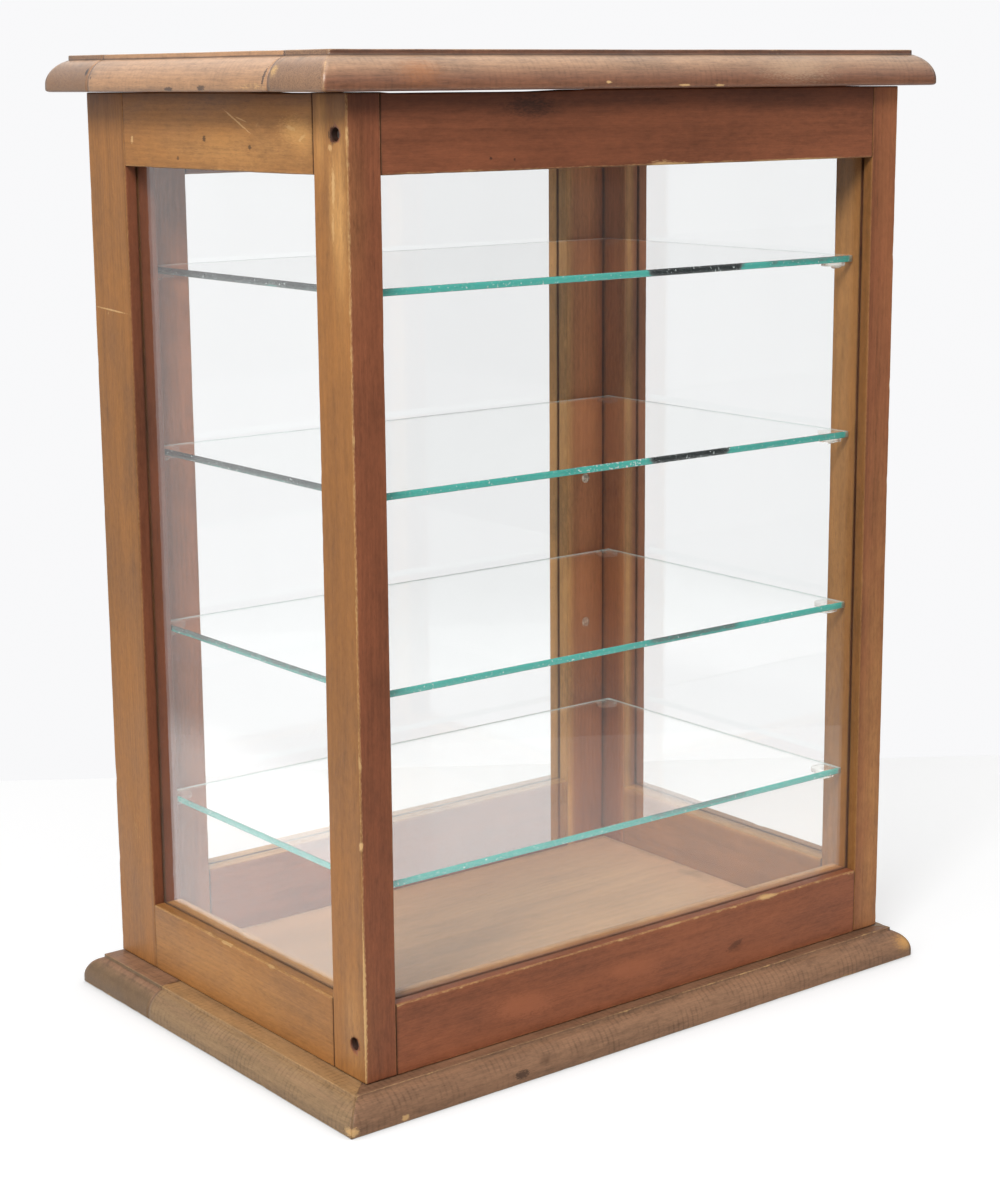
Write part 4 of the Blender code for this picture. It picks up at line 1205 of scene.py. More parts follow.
class CASE_OT_posts(bpy.types.Operator):
    """Makes the four posts, with pane grooves, sunk screw holes and hinge recesses"""

    bl_idname = "case.posts"
    bl_label = "Posts"

    def execute(self, context):
        for side in ("left", "right"):
            self.front_post(side)
            self.back_post(side)
        return {"FINISHED"}

    def front_post(self, side):
        if side == "left":
            inner, rubs, seed = "right", (0.8, 0.3, 0.2, 0.3), 3
            upper, lower = middle("post_screw_left_top")[2], middle("post_screw_left_bottom")[2]
            marks = [
                ("raw", (LEFT, FRONT + 0.009, upper - 0.045), (0.01, 0.007, 0.045), 0.85),
                ("raw", (LEFT, FRONT + 0.027, upper + 0.002), (0.01, 0.006, 0.022), 0.60),
                ("bare", (LEFT, FRONT + 0.0105, upper - 0.020), (0.01, 0.003, 0.007), 0.65),
                ("raw", (LEFT, FRONT + 0.012, lower + 0.012), (0.01, 0.010, 0.030), 0.30),
                # Darker marks: on the left side's middle a darker stain; on the front and under the top's
                # overhang painted shade
                ("dim", (LEFT, FRONT + 0.022, 0.33), (0.01, 0.030, 0.15), 0.30),
                ("dim", (LEFT + 0.014, FRONT, 0.36), (0.014, 0.004, 0.36), 0.44),
                ("dim", (LEFT + 0.010, FRONT + 0.015, POST_TOP), (0.05, 0.05, 0.018), 1.0),
            ]
        else:
            inner, rubs, seed = "left", (0.25, 0.6, 0.4, 0.2), 4
            marks = [
                # Lighter patches on the front, mostly low, and on the inner jamb: unstained wood, partly
                # painted light
                ("raw", (RIGHT - 0.008, FRONT, 0.14), (0.014, 0.02, 0.22), 0.42),
                ("raw", (RIGHT - 0.008, FRONT, 0.52), (0.014, 0.02, 0.20), 0.10),
                ("raw", (INNER_RIGHT, FRONT + 0.027, 0.33), (0.003, 0.014, 0.6), 0.32),
                # Painted shade on the inner face in front of the pane and low down
                ("dim", (INNER_RIGHT, FRONT + 0.004, 0.33), (0.003, 0.008, 0.6), 0.70),
                ("dim", (INNER_RIGHT, FRONT + 0.02, 0.10), (0.003, 0.03, 0.12), 0.25),
            ]
        grooves = [(inner, "front_pane", 1), ("top", f"{side}_pane", 0)]
        holes = [screw_hole(f"{side}_{level}") for level in ("top", "bottom")]
        pith = (0.03, -0.02, 0.006)
        frame_board(f"front_{side}_post", "z", rubs, grooves, seed, pith, marks, cutters=holes)

    def back_post(self, side):
        name = f"back_{side}_post"
        lowest = low(name)
        recesses = []
        # indoors sets which faces look into the case, to be painted lighter
        if side == "left":
            rubs, seed, indoors = (0.3, 0.2, 0.3, 0.6), 5, (0.8, 0, 0)
            marks = [
                ("bare", (LEFT, BACK - 0.022, 0.478), (0.01, 0.020, 0.0022), 0.8),
                ("bare", (LEFT, BACK - 0.030, 0.12), (0.01, 0.010, 0.020), 0.35),
                # Painted shade in the reveal beside the pane and under the top's overhang
                ("dim", (LEFT + 0.012, lowest[1], 0.33), (0.022, 0.004, 0.7), 0.68),
                ("dim", (LEFT, BACK - 0.02, POST_TOP), (0.01, 0.05, 0.015), 0.80),
            ]
            recesses = leaf_recesses("post")
        else:
            rubs, seed, indoors = (0.2, 0.3, 0.6, 0.3), 6, (-0.8, -0.5, 0)
            marks = [
                ("raw", (lowest[0] + 0.0046, lowest[1], 0.32), (0.0038, 0.004, 2), 0.72),
                # Painted shade, darker towards the bottom of the post's inner faces
                ("dim", (lowest[0], lowest[1] + 0.02, 0.12), (0.02, 0.04, 0.30), 0.92),
            ]
        grooves = [("bottom", f"{side}_pane", 0)]
        pith = (-0.02, 0.06, 0.004)
        frame_board(name, "z", rubs, grooves, seed, pith, marks, cutters=recesses, indoors=indoors)


def pane_groove(pane, axis):
    """Where a pane's groove starts and ends across the board."""
    return low(pane)[axis] - PANE_PLAY, high(pane)[axis] + PANE_PLAY


def screw_hole(place):
    """A sunk hole for a post screw, from the post's outer face."""
    node = f"post_screw_{place}"
    outward, face, seat = (-1, LEFT, low(node)[0]) if place.startswith("left") else (1, RIGHT, high(node)[0])
    radius = fittings().post_screw + 0.0010
    depth = abs(seat - face)
    profile = [(-0.0003, radius * 0.9), (depth - 0.0012, radius), (depth + 0.003, radius * 1.25)]
    start = (seat, *middle(node)[1:])
    return place_object("hole", turned_mesh("hole", profile, start, (outward, 0, 0), 32))


def leaf_recesses(board):
    """The shallow recesses that the hinge leaves lie in, on the post or on the door."""
    edge = BACK + 0.01
    if board == "post":
        across = (INNER_LEFT - LEAF_THICKNESS, INNER_LEFT + 0.004)
    else:
        face = low("door_hinge_stile")[0]
        across = (face - 0.004, face + LEAF_THICKNESS)
    recesses = []
    for level in ("lower", "upper"):
        lowest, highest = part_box(f"hinge_{level}_{board}_leaf")
        bottom = (across[0], lowest[1] - RECESS_PLAY, lowest[2] - RECESS_PLAY)
        recesses.append(box_object("recess", bottom, (across[1], edge, highest[2] + RECESS_PLAY)))
    return recesses


class CASE_OT_rails(bpy.types.Operator):
    """Makes the six rails between the posts"""

    bl_idname = "case.rails"
    bl_label = "Rails"

    def execute(self, context):
        self.front_rail("top", 11)
        self.front_rail("bottom", 12)
        for side in ("left", "right"):
            self.side_rail(side, "top", 13 if side == "left" else 15)
            self.side_rail(side, "bottom", 14 if side == "left" else 16)
        return {"FINISHED"}

    def front_rail(self, level, seed):
        name = f"front_{level}_rail"
        lowest, highest = low(name), high(name)
        if level == "top":
            side, rubs, pith = "bottom", (0.55, 0.1, 0.1, 0.1), (0.05, -0.03, 0.006)
            marks = [
                ("soil", (INNER_LEFT + 0.118, FRONT, highest[2] - 0.012), (0.022, 0.01, 0.007), 0.5),
                ("bare", (INNER_LEFT + 0.214, FRONT, lowest[2] + 0.001), (0.014, 0.006, 0.004), 0.7),
                # Painted shadow of the top's overhang on the rail's upper part
                ("dim", (INNER_LEFT + 0.15, FRONT, 0.597), (0.22, 0.006, 0.06), 0.54),
                ("dim", (0, FRONT, highest[2]), (2, 0.006, 0.015), 0.88),
            ]
            bend = light_gap(0, INNER_LEFT, length=0.150, onset=14, depth=0.0009)
        else:
            side, rubs, pith = "top", (0.35, 0.1, 0.2, 1.0), (0.034, 0.004, 0.002)
            marks = [
                ("raw", (0, RAIL_BACK - 0.004, highest[2]), (2, 0.006, 0.0025), 0.9),
                ("soil", (INNER_LEFT + 0.290, FRONT, lowest[2] + 0.016), (0.010, 0.01, 0.005), 0.5),
                ("bare", (INNER_LEFT + 0.318, FRONT, highest[2]), (0.008, 0.006, 0.003), 0.9),
            ]
            bend = None
        grooves = [(side, "front_pane", 1)]
        between = (INNER_LEFT, INNER_RIGHT)
        frame_board(name, "x", rubs, grooves, seed, pith, marks, between, bend=bend)

    def side_rail(self, side, level, seed):
        name = f"{side}_{level}_rail"
        lowest, highest = low(name), high(name)
        outer = 0.45 if level == "top" else 1.0
        if side == "left":
            rubs = (outer, 0.1, 0.1, 0.2) if level == "top" else (0.2, outer, 0.3, 0.1)
        else:
            rubs = (0.2, 0.1, 0.1, outer) if level == "top" else (0.1, 0.3, outer, 0.2)
        marks = []
        bend = None
        if level == "bottom":
            inner = highest[0] - 0.004 if side == "left" else lowest[0] + 0.004
            marks.append(("raw", (inner, 0, highest[2]), (0.006, 2, 0.0025), 0.9))
            if side == "left":
                marks.append(("raw", (LEFT, 0.02, highest[2] - 0.022), (0.01, 0.12, 0.022), 0.28))
        elif side == "left":
            marks = [
                ("raw", (LEFT, POST_FRONT_END + 0.010, highest[2] - 0.026), (0.01, 0.016, 0.012), 0.62),
                ("raw", (LEFT, POST_FRONT_END + 0.075, highest[2] - 0.034), (0.01, 0.100, 0.014), 0.42),
                ("bare", (LEFT, POST_FRONT_END + 0.058, highest[2] - 0.020), (0.01, 0.006, 0.003), 0.55),
                ("bare", (LEFT, POST_BACK_START - 0.008, highest[2] - 0.030), (0.01, 0.002, 0.004), 0.6),
                ("soil", (LEFT, POST_FRONT_END + 0.092, highest[2] - 0.030), (0.01, 0.0025, 0.0025), 0.5),
                ("soil", (LEFT, POST_FRONT_END + 0.050, highest[2] - 0.035), (0.01, 0.002, 0.002), 0.4),
                ("soil", (LEFT, POST_FRONT_END + 0.112, highest[2] - 0.041), (0.01, 0.002, 0.002), 0.35),
                # Painted shadow of the top's overhang along the rail's upper edge
                ("dim", (LEFT, 0, highest[2]), (0.01, 2, 0.006), 0.90),
            ]
            bend = light_gap(1, POST_FRONT_END, length=0.070, onset=8, depth=0.0005)
        grooves = [("left" if level == "top" else "right", f"{side}_pane", 0)]
        pith = (-0.01, 0.045, 0.005)
        between = (POST_FRONT_END, POST_BACK_START)
        frame_board(name, "y", rubs, grooves, seed, pith, marks, between, bend=bend)


def light_gap(axis, start, length, onset, depth):
    """A bend that hollows a rail's upper edge near its end, where light shows under the top."""

    def bend(points):
        share = (points[:, axis] - start) / length
        hollow = np.clip(np.minimum(share * onset, (1 - share) * 5), 0, 1) * depth
        upper = np.clip((points[:, 2] - (POST_TOP - 0.010)) / 0.010, 0, 1)
        points[:, 2] -= hollow * upper
        return points

    return bend


def nose_levels(plinth, rise, depth, steps=14):
    """Heights and insets of a convex nose that leaves its lower end upright."""
    radius = (rise * rise + depth * depth) / (2 * depth)
    levels = []
    for step in range(steps + 1):
        height = rise * step / steps
        levels.append((plinth + height, radius - math.sqrt(radius * radius - height * height)))
    return levels


def profile_levels(thickness, lip, nose, fillet, width, worn=0.55, grime=0.95):
    """A moulding's levels, from its underside up: lip, nose, quirk, fillet and upper face."""
    places = list(lip)
    start = places[-1][0]
    places += nose_levels(start, thickness - fillet - start, nose - 0.0006)[1:]
    quirk = thickness - fillet
    places += [(quirk + 0.00005, nose - 0.0002), (quirk + 0.0001, nose)]
    places += [(quirk + fillet * 0.45, nose + 0.00002), (thickness - 0.0007, nose + 0.00005)]
    arris = (thickness - 0.0002, nose + 0.0002)
    places += [(thickness - 0.0004, nose + 0.0001), arris, (thickness, nose + 0.0007)]
    inner = [step for step in (0.0015, 0.003, 0.006, 0.011, 0.018, 0.028) if nose + step < width * 0.8]
    places += [(thickness, nose + step) for step in inner]
    run = [0.0]
    for before, after in zip(places, places[1:]):
        run.append(run[-1] + math.hypot(after[0] - before[0], after[1] - before[1]))
    arris_run = run[places.index(arris)]
    lip_run = run[len(lip) // 2]
    levels = []
    for (height, inset), distance in zip(places, run):
        upper, lower = abs(distance - arris_run), abs(distance - lip_run)
        rim = min(upper, lower)
        rub = worn if upper < lower else worn - 0.2
        quirk_gap = abs(height - quirk) + abs(inset - nose) * 0.6
        soil = grime * math.exp(-quirk_gap / 0.0007)
        levels.append((height, inset, rim, rub, soil))
    return levels


class CASE_OT_base(bpy.types.Operator):
    """Makes the moulded base: mitred at the front, with a wide back rail"""

    bl_idname = "case.base"
    bl_label = "Base"

    def execute(self, context):
        left, right = low("base_front_rail")[0], high("base_front_rail")[0]
        front, back = low("base_front_rail")[1], high("base_back_rail")[1]
        inner_left, inner_right = high("base_left_rail")[0], low("base_right_rail")[0]
        inner_front, joint = high("base_front_rail")[1], low("base_back_rail")[1]
        gap = MITRE_GAP
        lip = [(0.0, 0.0005), (0.0002, 0.00015), (0.0006, 0.0), (0.002, 0.0), (0.004, 0.0)]
        levels = profile_levels(BASE_TOP, lip, nose=0.011, fillet=0.0027, width=0.06, worn=0.85, grime=0.30)
        front_rail = [
            (left + gap, front, 1, 1, 0.75),
            (right - gap, front, -1, 1, 0.9),
            (inner_right - gap, inner_front, 0, 0, 0),
            (inner_left + gap, inner_front, 0, 0, 0),
        ]
        left_rail = [
            (left, front + gap, 1, 1, 0.6),
            (inner_left, inner_front + gap, 0, 0, 0),
            (inner_left, joint - gap, 0, 0, 0),
            (left, joint - gap, 1, 0, 0),
        ]
        right_rail = [
            (right, front + gap, -1, 1, 0.6),
            (right, joint - gap, -1, 0, 0),
            (inner_right, joint - gap, 0, 0, 0),
            (inner_right, inner_front + gap, 0, 0, 0),
        ]
        back_rail = rectangle((left, right), (joint + gap, back), DRAWN_BACK, (0, 0, 0.6, 0.6))
        pieces = {"front": (0, front_rail, 21), "left": (1, left_rail, 22)}
        pieces.update({"right": (1, right_rail, 23), "back": (0, back_rail, 24)})
        for place, (along, corners, seed) in pieces.items():
            name = f"base_{place}_rail"
            marks = self.marks(place, left, right, front)
            rail = make_moulded(name, along, corners, levels, seed, (0.02, -0.05, 0.004), marks)
            settle(rail, "case", base_wood(), [name])
        return {"FINISHED"}

    def marks(self, place, left, right, front):
        if place == "front":
            return [
                ("bare", (right - 0.004, front + 0.003, 0.010), (0.012, 0.01, 0.008), 0.75),
                ("bare", (left + 0.003, front + 0.002, 0.004), (0.006, 0.01, 0.004), 0.6),
                ("soil", (left + 0.152, front, 0.010), (0.006, 0.01, 0.004), 0.6),
                # Painted shade on the ledge at the foot of the front; the front is also darker towards its
                # left
                ("dim", (0, FRONT - 0.004, BASE_TOP), (2, 0.009, 0.002), 0.42),
                ("dim", (left + 0.085, front, 0.010), (0.075, 0.02, 0.02), 0.26),
            ]
        if place == "left":
            return [
                ("bare", (left + 0.002, front + 0.004, 0.004), (0.01, 0.006, 0.004), 0.6),
                ("raw", (LEFT - 0.008, 0, BASE_TOP), (0.014, 2, 0.003), 0.28),
            ]
        return []


class CASE_OT_top(bpy.types.Operator):
    """Makes the moulded top and the panel in its frame"""

    bl_idname = "case.top"
    bl_label = "Top"

    def execute(self, context):
        left, right = low("top_front_rail")[0], high("top_front_rail")[0]
        front, back = low("top_front_rail")[1], high("top_back_rail")[1]
        inner_front, inner_back = high("top_front_rail")[1], low("top_back_rail")[1]
        inner_left, inner_right = high("top_left_rail")[0], low("top_right_rail")[0]
        gap = MITRE_GAP
        thickness = high("top_front_rail")[2] - TOP_BOTTOM
        lip = [(0.0, 0.00175), (0.0003, 0.0009), (0.0007, 0.0004)]
        lip += [(0.0013, 0.0001), (0.00175, 0.0), (0.0035, 0.0)]
        levels = profile_levels(thickness, lip, nose=0.012, fillet=0.0033, width=0.058)
        across, between = (left, right), (inner_front + gap, inner_back - gap)
        front_rail = rectangle(across, (front, inner_front - gap), DRAWN_FRONT, (0.6, 0.7, 0, 0))
        back_rail = rectangle(across, (inner_back + gap, back), DRAWN_BACK, (0, 0, 0.6, 0.6))
        left_rail = rectangle((left, inner_left), between, DRAWN_LEFT)
        right_rail = rectangle((inner_right, right), between, DRAWN_RIGHT)
        pieces = {"front": (0, front_rail, 31), "back": (0, back_rail, 32)}
        pieces.update({"left": (1, left_rail, 33), "right": (1, right_rail, 34)})
        for place, (along, corners, seed) in pieces.items():
            name = f"top_{place}_rail"
            marks = []
            if place == "front":
                end_grain = (left + 0.001, inner_front - 0.004, TOP_BOTTOM + 0.012)
                fillet = (0, front + 0.0125, TOP_BOTTOM + thickness)
                marks = [
                    ("bare", end_grain, (0.01, 0.005, 0.006), 0.7),
                    # The fillet is darkened along its length
                    ("dim", fillet, (2, 0.003, 0.004), 0.70),
                ]
            if place == "left":
                lower_edge = (left, inner_front + 0.020, TOP_BOTTOM + 0.003)
                marks = [("bare", lower_edge, (0.01, 0.040, 0.003), 0.5)]
            rail = make_moulded(name, along, corners, levels, seed, (-0.02, 0.05, 0.003), marks, TOP_BOTTOM)
            settle(rail, "case", top_wood(), [name])
        self.panel(inner_left, inner_right, inner_front, inner_back)
        return {"FINISHED"}

    def panel(self, left, right, front, back):
        lowest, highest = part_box("top_panel")
        play = 0.0004
        worn = (0.2, 0.2, 0.2, 0.2)
        corners = rectangle((left + play, right - play), (front + play, back - play), worn=worn)
        levels = slab_levels(highest[2] - lowest[2], 0.0008, (back - front) * 0.4)
        pith = (0.01, 0.09, 0.004)
        panel = make_moulded("top_panel_board", 0, corners, levels, 35, pith, bottom=lowest[2], calm=0.5)
        settle(panel, "case", top_wood(), ["top_panel"])


def slab_levels(thickness, radius, reach, soil=0.7):
    """A flat board's levels: a small round at both edges, then its upper face."""
    levels = [(0, radius, 0.0005, 0.1, soil), (radius * 0.3, radius * 0.3, 0, 0.1, soil)]
    levels += [(radius, 0, 0.0005, 0.1, soil), (thickness - radius, 0, 0.0005, 0.15, soil)]
    levels += [(thickness - radius * 0.3, radius * 0.3, 0, 0.2, 0.3), (thickness, radius, 0.0004, 0.2, 0.15)]
    for inset in (0.0022, 0.004, 0.007, 0.012, 0.02, 0.032, 0.048, 0.066, 0.086, 0.108):
        if inset < reach:
            dirt = 0.5 * math.exp(-inset / 0.006)
            levels.append((thickness, inset, inset, 0.05, dirt))
    return levels


class CASE_OT_floor_board(bpy.types.Operator):
    """Makes the board inside the bottom of the case"""

    bl_idname = "case.floor_board"
    bl_label = "Floor board"

    def execute(self, context):
        lowest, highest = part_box("floor_board")
        corners = rectangle(*zip(lowest[:2], highest[:2]))
        levels = slab_levels(highest[2] - lowest[2], 0.0006, 0.12)
        marks = [
            ("soil", (0.194, 0.013, highest[2]), (0.010, 0.03, 0.01), 0.35),
            # Painted shade along the left, where the bottom rail shades the board
            ("dim", (INNER_LEFT + 0.02, -0.02, highest[2]), (0.10, 0.25, 0.01), 0.50),
        ]
        pith = (0.02, 0.05, 0.004)
        board = make_moulded("floor_inside_board", 0, corners, levels, 41, pith, marks, lowest[2], calm=0.6)
        settle(board, "case", floor_wood(), ["floor_board"])
        return {"FINISHED"}


class CASE_OT_door(bpy.types.Operator):
    """Makes the rear door's stiles and rails"""

    bl_idname = "case.door"
    bl_label = "Door frame"

    def execute(self, context):
        # The door's inner faces are painted lighter through indoors; each stile also gets painted shade low
        # on its inner face, deeper on the knob stile (shaded)
        stiles = (
            ("door_hinge_stile", "right", 51, 1, -0.55, 0.15),
            ("door_knob_stile", "left", 52, -1, -1, 0.72),
        )
        for name, side, seed, toward, inside, shaded in stiles:
            lowest = low(name)
            marks = [("dim", (middle(name)[0], lowest[1], 0.10), (0.05, 0.01, 0.25), shaded)]
            if side == "left":
                marks.append(("raw", (lowest[0] + 0.0015, lowest[1], 0.33), (0.0040, 0.004, 2), 0.85))
            rubs, pith = (0.25, 0.25, 0.6, 0.6), (0.03, -0.03, 0.005)
            recesses = leaf_recesses("door") if side == "right" else ()
            frame_board(
                name, "z", rubs, [(side, "door_pane", 1)], seed, pith, marks, body="door", cutters=recesses,
                end_rub=0.4, indoors=(0, inside, 0), unstained=(toward, 0, 0),
            )
        between = (high("door_hinge_stile")[0], low("door_knob_stile")[0])
        for level, side, seed, toward in (("top", "bottom", 53, -1), ("bottom", "top", 54, 1)):
            rubs, pith = (0.25, 0.35, 0.35, 0.25), (0.02, 0.04, 0.004)
            frame_board(
                f"door_{level}_rail", "x", rubs, [(side, "door_pane", 1)], seed, pith,
                span=between, body="door", indoors=(0, -0.45, 0), unstained=(0, 0, toward),
            )
        return {"FINISHED"}


class CASE_OT_panes(bpy.types.Operator):
    """Gives the panes their glass"""

    bl_idname = "case.panes"
    bl_label = "Panes"

    def execute(self, context):
        for name in ("front_pane", "left_pane", "right_pane", "door_pane"):
            paint(name, pane_glass())
        return {"FINISHED"}


def paint(node, material):
    """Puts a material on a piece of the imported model."""
    for place in frame["nodes"][node].material_slots:
        place.material = material


class CASE_OT_shelves(bpy.types.Operator):
    """Makes the four glass shelves with ground, nicked edges"""

    bl_idname = "case.shelves"
    bl_label = "Shelves"

    def execute(self, context):
        for index in range(1, 5):
            self.shelf(index)
        return {"FINISHED"}

    def shelf(self, index):
        name = f"glass_shelf_{index}"
        lowest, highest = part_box(name)
        thickness = highest[2] - lowest[2]
        bevel = SHELF_BEVEL
        profile = [(0, bevel), (bevel * 0.3, bevel * 0.3), (bevel, 0), (thickness / 2, 0)]
        profile += [(thickness - bevel, 0), (thickness - bevel * 0.3, bevel * 0.3), (thickness, bevel)]
        corners = rectangle(*zip(lowest[:2], highest[:2]))
        points = []
        counts = []
        for start, end in zip(corners, corners[1:] + corners[:1]):
            counts.append(max(8, round(math.hypot(end[0] - start[0], end[1] - start[1]) / SHELF_STEP)))
        for height, inset in profile:
            for side, start in enumerate(corners):
                end = corners[(side + 1) % 4]
                for step in range(counts[side]):
                    share = step / counts[side]
                    x = (start[0] + start[2] * inset) * (1 - share) + (end[0] + end[2] * inset) * share
                    y = (start[1] + start[3] * inset) * (1 - share) + (end[1] + end[3] * inset) * share
                    points.append((x, y, lowest[2] + height))
        points = np.array(points)
        count = sum(counts)
        mesh = lofted_mesh(name, points, count)
        inward = np.array(middle(name)[:2]) - points[:, :2]
        inward /= np.linalg.norm(inward, axis=1)[:, None]
        nick = np.clip(lattice_noise(points * 70, 60 + index) - 0.45, 0, 1) * 0.0012
        points[:, :2] += inward * nick[:, None]
        mesh.vertices.foreach_set("co", points.astype(np.float32).ravel())
        # Painted highlight and shade on the edge's rows, from the bottom up: lighter lower bevel, darkest
        # top arris; nicks gather on the lower bevel as a painted glint
        bevels = np.repeat([0.20, -0.10, -0.18, 0.05, 0.08, 0.20, 0.35], count)
        chips = np.repeat([0.0, 0.4, 0.3, 0.05, 0.0, 0.15, 0.1], count)
        if index == 3:
            chips = chips + np.clip((0.031 - np.abs(points[:, 0] + 0.0145)) / 0.004, 0, 0.9)
        add_number(mesh, "chip", chips)
        add_number(mesh, "shadow", self.shadow(index, points, lowest) + bevels)
        # Painted light: the far edges, at the back and right, are pale
        far = np.maximum(points[:, 0] - (highest[0] - 0.002), points[:, 1] - (highest[1] - 0.002))
        add_number(mesh, "pale", np.clip(far / 0.001, 0, 0.85))
        mesh.materials.append(shelf_glass())
        mesh.materials.append(shelf_edge_glass())
        kinds = np.ones(len(mesh.polygons), dtype=np.int32)
        kinds[-2:] = 0
        mesh.polygons.foreach_set("material_index", kinds)
        mesh.update()
        settle(place_object(name + "_sheet", mesh), f"shelf_{index}", None, [name])

    def shadow(self, index, points, lowest):
        """How deep the green of an edge is, as painted shade: deep on the left edges, light along the front.
        """
        left = np.clip(1 - (points[:, 0] - lowest[0]) / 0.002, 0, 1)
        value = 0.25 + left * self.SIDE_DEPTH[index]
        for place, reach, amount in self.FRONT_DEPTH[index]:
            inside = np.clip((reach - np.abs(points[:, 0] - place)) / 0.006, 0, 1)
            value = value + amount * inside * (1 - left)
        return value

    # How much deeper the green is on a shelf's left edge, and stretches along its front edge: painted shade,
    # lighter where an amount is below zero
    SIDE_DEPTH = {1: 0.10, 2: 0.30, 3: 0.52, 4: 0.62}
    FRONT_DEPTH = {
        1: [(-0.13, 0.06, -0.14), (0.066, 0.047, 0.20), (0.160, 0.044, -0.30)],
        2: [(0.059, 0.043, 0.24), (-0.10, 0.04, -0.05), (0.155, 0.050, -0.20)],
        3: [(-0.050, 0.012, 0.15), (0.054, 0.037, 0.70), (0.155, 0.045, 0.08)],
        4: [(0.058, 0.043, 0.75), (0.165, 0.045, 0.20)],
    }


class CASE_OT_pegs(bpy.types.Operator):
    """Makes the sixteen clear pegs under the shelves"""

    bl_idname = "case.pegs"
    bl_label = "Pegs"

    def execute(self, context):
        points, directions, nodes = [], [], []
        for index in range(1, 5):
            level = low(f"glass_shelf_{index}")[2] - 0.00005
            for end in ("front", "back"):
                for side in ("left", "right"):
                    node = f"shelf_peg_{index}_{end}_{side}"
                    face, inward = (INNER_LEFT, 1) if side == "left" else (INNER_RIGHT, -1)
                    points.append((face, middle(node)[1], level))
                    directions.append((inward, 0, 0))
                    nodes.append(node)
        look = fittings()
        values = {"Pad Width": look.peg_pad, "Reach": look.peg_reach, "Material": peg_plastic()}
        pegs = peg_tree().run("shelf_pegs", points, directions, values)
        settle(pegs, "case", None, nodes)
        return {"FINISHED"}


class CASE_OT_screws(bpy.types.Operator):
    """Makes the sunk post screws and the hinges' screws"""

    bl_idname = "case.screws"
    bl_label = "Screws"

    def execute(self, context):
        look = fittings()
        tree = screw_tree()
        points, directions, nodes = [], [], []
        for side, outward in (("left", -1), ("right", 1)):
            for level in ("top", "bottom"):
                node = f"post_screw_{side}_{level}"
                face = low(node)[0] if outward < 0 else high(node)[0]
                points.append((face, *middle(node)[1:]))
                directions.append((outward, 0, 0))
                nodes.append(node)
        values = {"Head Radius": look.post_screw, "Head Height": 0.002, "Material": steel_metal()}
        settle(tree.run("post_screw_heads", points, directions, values), "case", None, nodes)
        for body, leaf, outward in (("case", "post", 1), ("door", "door", -1)):
            self.hinge_screws(tree, body, leaf, outward)
        return {"FINISHED"}

    def hinge_screws(self, tree, body, leaf, outward):
        points, directions = [], []
        for level in ("lower", "upper"):
            node = f"hinge_{level}_{leaf}_leaf"
            face = INNER_LEFT if outward > 0 else low("door_hinge_stile")[0]
            for shift, depth in ((-0.017, 0.0045), (0.0, 0.0075), (0.017, 0.0045)):
                points.append((face - outward * 0.0003, low(node)[1] + depth, middle(node)[2] + shift))
                directions.append((outward, 0, 0))
        values = {"Head Radius": fittings().hinge_screw, "Head Height": 0.0012, "Material": brass_metal()}
        settle(tree.run(f"hinge_screws_{body}", points, directions, values), body, None)


class CASE_OT_fittings(bpy.types.Operator):
    """Finishes the hinges, the knob and its bolt"""

    bl_idname = "case.fittings"
    bl_label = "Fittings"

    def execute(self, context):
        for level in ("lower", "upper"):
            for part in ("post_leaf", "door_leaf", "pin"):
                paint(f"hinge_{level}_{part}", brass_metal())
        paint("door_knob_bolt", nickel_metal())
        paint("door_knob", brass_metal())
        return {"FINISHED"}


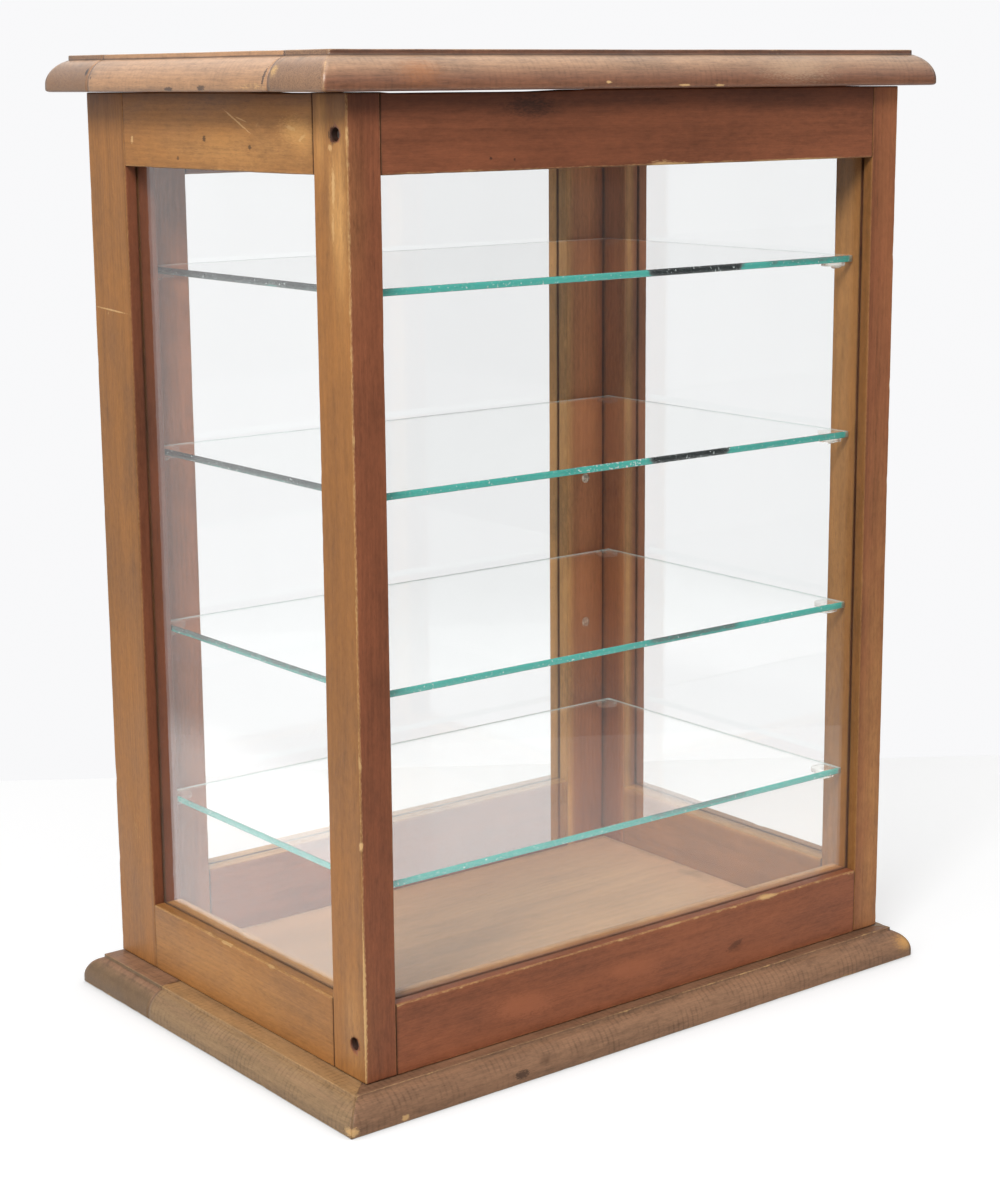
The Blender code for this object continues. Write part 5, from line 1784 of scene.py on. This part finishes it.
class CASE_OT_stage(bpy.types.Operator):
    """Makes the floor, the light and the camera"""

    bl_idname = "case.stage"
    bl_label = "Stage"

    def execute(self, context):
        self.floor()
        self.world()
        self.lamp("key_lamp", (-1.42, -1.14, 1.80), 0.65, stage().key)
        self.lamp("side_lamp", (-2.1, -0.30, 0.80), 1.3, stage().side)
        fill = self.lamp("fill_lamp", (0.85, -1.5, 0.38), 1.0, stage().fill)
        fill.visible_glossy = False
        fill.visible_transmission = False
        self.lamp("overhead_lamp", (-0.1, -0.2, 2.3), 1.5, stage().overhead)
        self.camera()
        return {"FINISHED"}

    def floor(self):
        """A pale floor that ends in a straight edge behind the case; its glow has painted contact shade and
        painted reflections.
        """
        corners = [(-0.70, 1.089, 0), (-0.95, -0.25, 0), (0.30, -0.80, 0), (1.25, -0.236, 0)]
        mesh = new_mesh("floor", corners, [(0, 1, 2, 3)])
        thing = place_object("floor", mesh)
        s = Shader("pale_floor")
        s.set("Base Color", tuple(stage().floor))
        s.set("Roughness", 0.85)
        s.set("Specular IOR Level", 0.1)
        place = s.object_place()
        # Painted reflection: in mirrors the floor glows, more on the left and in front, with its lit surface
        # added near the case
        near = s.less(1.0, s.ramp(s.length(place), 0.38, 0.90))
        across, depth, _ = s.parts(place)
        left = s.times(s.ramp(across, -0.22, -0.34), s.ramp(across, -0.64, -0.54))
        ahead = s.ramp(depth, -0.20, -0.45)
        beside = s.plus(s.times(left, 0.7), 0.55)
        beside = s.plus(beside, s.times(ahead, 0.40))
        room = s.plus(s.times(s.ramp(depth, -0.40, 0.30), 0.54), 0.40)
        room = s.plus(room, s.times(ahead, 0.55))
        room = s.plus(room, s.times(left, 0.9))
        path = s.path()
        mirrored = s.math("MINIMUM", path["Glossy Depth"], 1.0)
        # Painted contact shade: the floor's glow for the camera fades close to the case, by ambient
        # occlusion
        open_sky = s.node("ShaderNodeAmbientOcclusion", {"Distance": 0.05}, samples=8).outputs["AO"]
        level = s.times(s.ramp(open_sky, 0.05, 1.0), 0.70)
        bright = s.both(s.plain, s.light("Emission", beside))
        mirror = s.blend(near, s.light("Emission", room), bright)
        direct = s.both(s.plain, s.light("Emission", level))
        seen = s.blend(mirrored, direct, mirror)
        s.show(s.blend(seen_ray(s), s.plain, seen))
        mesh.materials.append(s.material)

    def world(self):
        """White behind the case, even light all round, and a darker room mirrored from the front."""
        world = bpy.data.worlds.new("studio")
        bpy.context.scene.world = world
        world.use_nodes = True
        world.node_tree.nodes.clear()
        n = Nodes(world.node_tree)
        look = stage()
        path = n.path()
        through = path["Is Transmission Ray"]
        mirrored = n.math("MINIMUM", path["Glossy Depth"], 1.0)
        seen = n.most(path["Is Camera Ray"], n.less(through, mirrored))
        direction = n.node("ShaderNodeTexCoord").outputs["Generated"]
        _, depth, rise = n.parts(direction)
        table = n.plus(n.times(n.ramp(rise, -0.20, -0.30), 0.75), 0.16)
        behind = n.ramp(depth, -0.45, 0.35)
        ahead = n.times(n.less(1.0, behind), table)
        room = n.plus(n.times(behind, 1.04), ahead)
        room = n.most(room, n.times(n.ramp(rise, 0.0, 0.30), 1.35))
        ambient = n.light("Background", look.ambient)
        mirror = n.light("Background", room, look.backdrop)
        level = n.plus(n.times(through, 0.05), 1.0)
        backdrop = n.light("Background", level, look.backdrop)
        whole = n.blend(seen, n.blend(mirrored, ambient, mirror), backdrop)
        n.node("ShaderNodeOutputWorld", {"Surface": whole})

    def lamp(self, name, place, size, power):
        data = bpy.data.lights.new(name, "AREA")
        data.shape = "SQUARE"
        data.size = size
        data.energy = power
        lamp = place_object(name, data)
        lamp.location = place
        aim = Vector(LAMP_AIM) - Vector(place)
        lamp.rotation_euler = aim.to_track_quat("-Z", "Y").to_euler()
        return lamp

    def camera(self):
        data = bpy.data.cameras.new("camera")
        data.sensor_width = 36
        data.lens = FOCAL_PIXELS / PHOTO_HEIGHT * 36
        data.clip_start = 0.05
        camera = place_object("camera", data)
        columns = Matrix((CAMERA_RIGHT, -Vector(CAMERA_DOWN), -Vector(CAMERA_AHEAD))).transposed()
        camera.matrix_world = Matrix.Translation(CAMERA_PLACE) @ columns.to_4x4()
        bpy.context.scene.camera = camera
        bpy.context.scene.view_settings.view_transform = "Standard"


def seen_ray(s):
    """1 for what the camera sees, directly, mirrored or through glass."""
    path = s.path()
    either = s.most(path["Is Camera Ray"], path["Is Glossy Ray"])
    return s.most(either, path["Is Transmission Ray"])


class CASE_PT_sidebar(bpy.types.Panel):
    """Lists the steps of the display case"""

    bl_idname = "CASE_PT_sidebar"
    bl_label = "Display case"
    bl_space_type = "VIEW_3D"
    bl_region_type = "UI"
    bl_category = "Display case"

    def draw(self, context):
        for step in STEPS:
            self.layout.operator(step.bl_idname)
        for group in (wood(), glass(), fittings(), stage()):
            column = self.layout.column(align=True)
            for name in group.bl_rna.properties.keys():
                if name not in ("rna_type", "name"):
                    column.prop(group, name)


GROUPS = {
    "case_wood": CaseWood,
    "case_glass": CaseGlass,
    "case_fittings": CaseFittings,
    "case_stage": CaseStage,
}
STEPS = (
    CASE_OT_posts,
    CASE_OT_rails,
    CASE_OT_base,
    CASE_OT_top,
    CASE_OT_floor_board,
    CASE_OT_door,
    CASE_OT_panes,
    CASE_OT_shelves,
    CASE_OT_pegs,
    CASE_OT_screws,
    CASE_OT_fittings,
    CASE_OT_stage,
)


def register():
    for name, group in GROUPS.items():
        bpy.utils.register_class(group)
        setattr(bpy.types.Scene, name, bpy.props.PointerProperty(type=group))
    for step in STEPS:
        bpy.utils.register_class(step)
    bpy.utils.register_class(CASE_PT_sidebar)


def unregister():
    bpy.utils.unregister_class(CASE_PT_sidebar)
    for step in reversed(STEPS):
        bpy.utils.unregister_class(step)
    for name, group in GROUPS.items():
        delattr(bpy.types.Scene, name)
        bpy.utils.unregister_class(group)


def main():
    register()
    bpy.ops.case.posts()
    bpy.ops.case.rails()
    bpy.ops.case.base()
    bpy.ops.case.top()
    bpy.ops.case.floor_board()
    bpy.ops.case.door()
    bpy.ops.case.panes()
    bpy.ops.case.shelves()
    bpy.ops.case.pegs()
    bpy.ops.case.screws()
    bpy.ops.case.fittings()
    bpy.ops.case.stage()


if __name__ == "__main__":
    main()
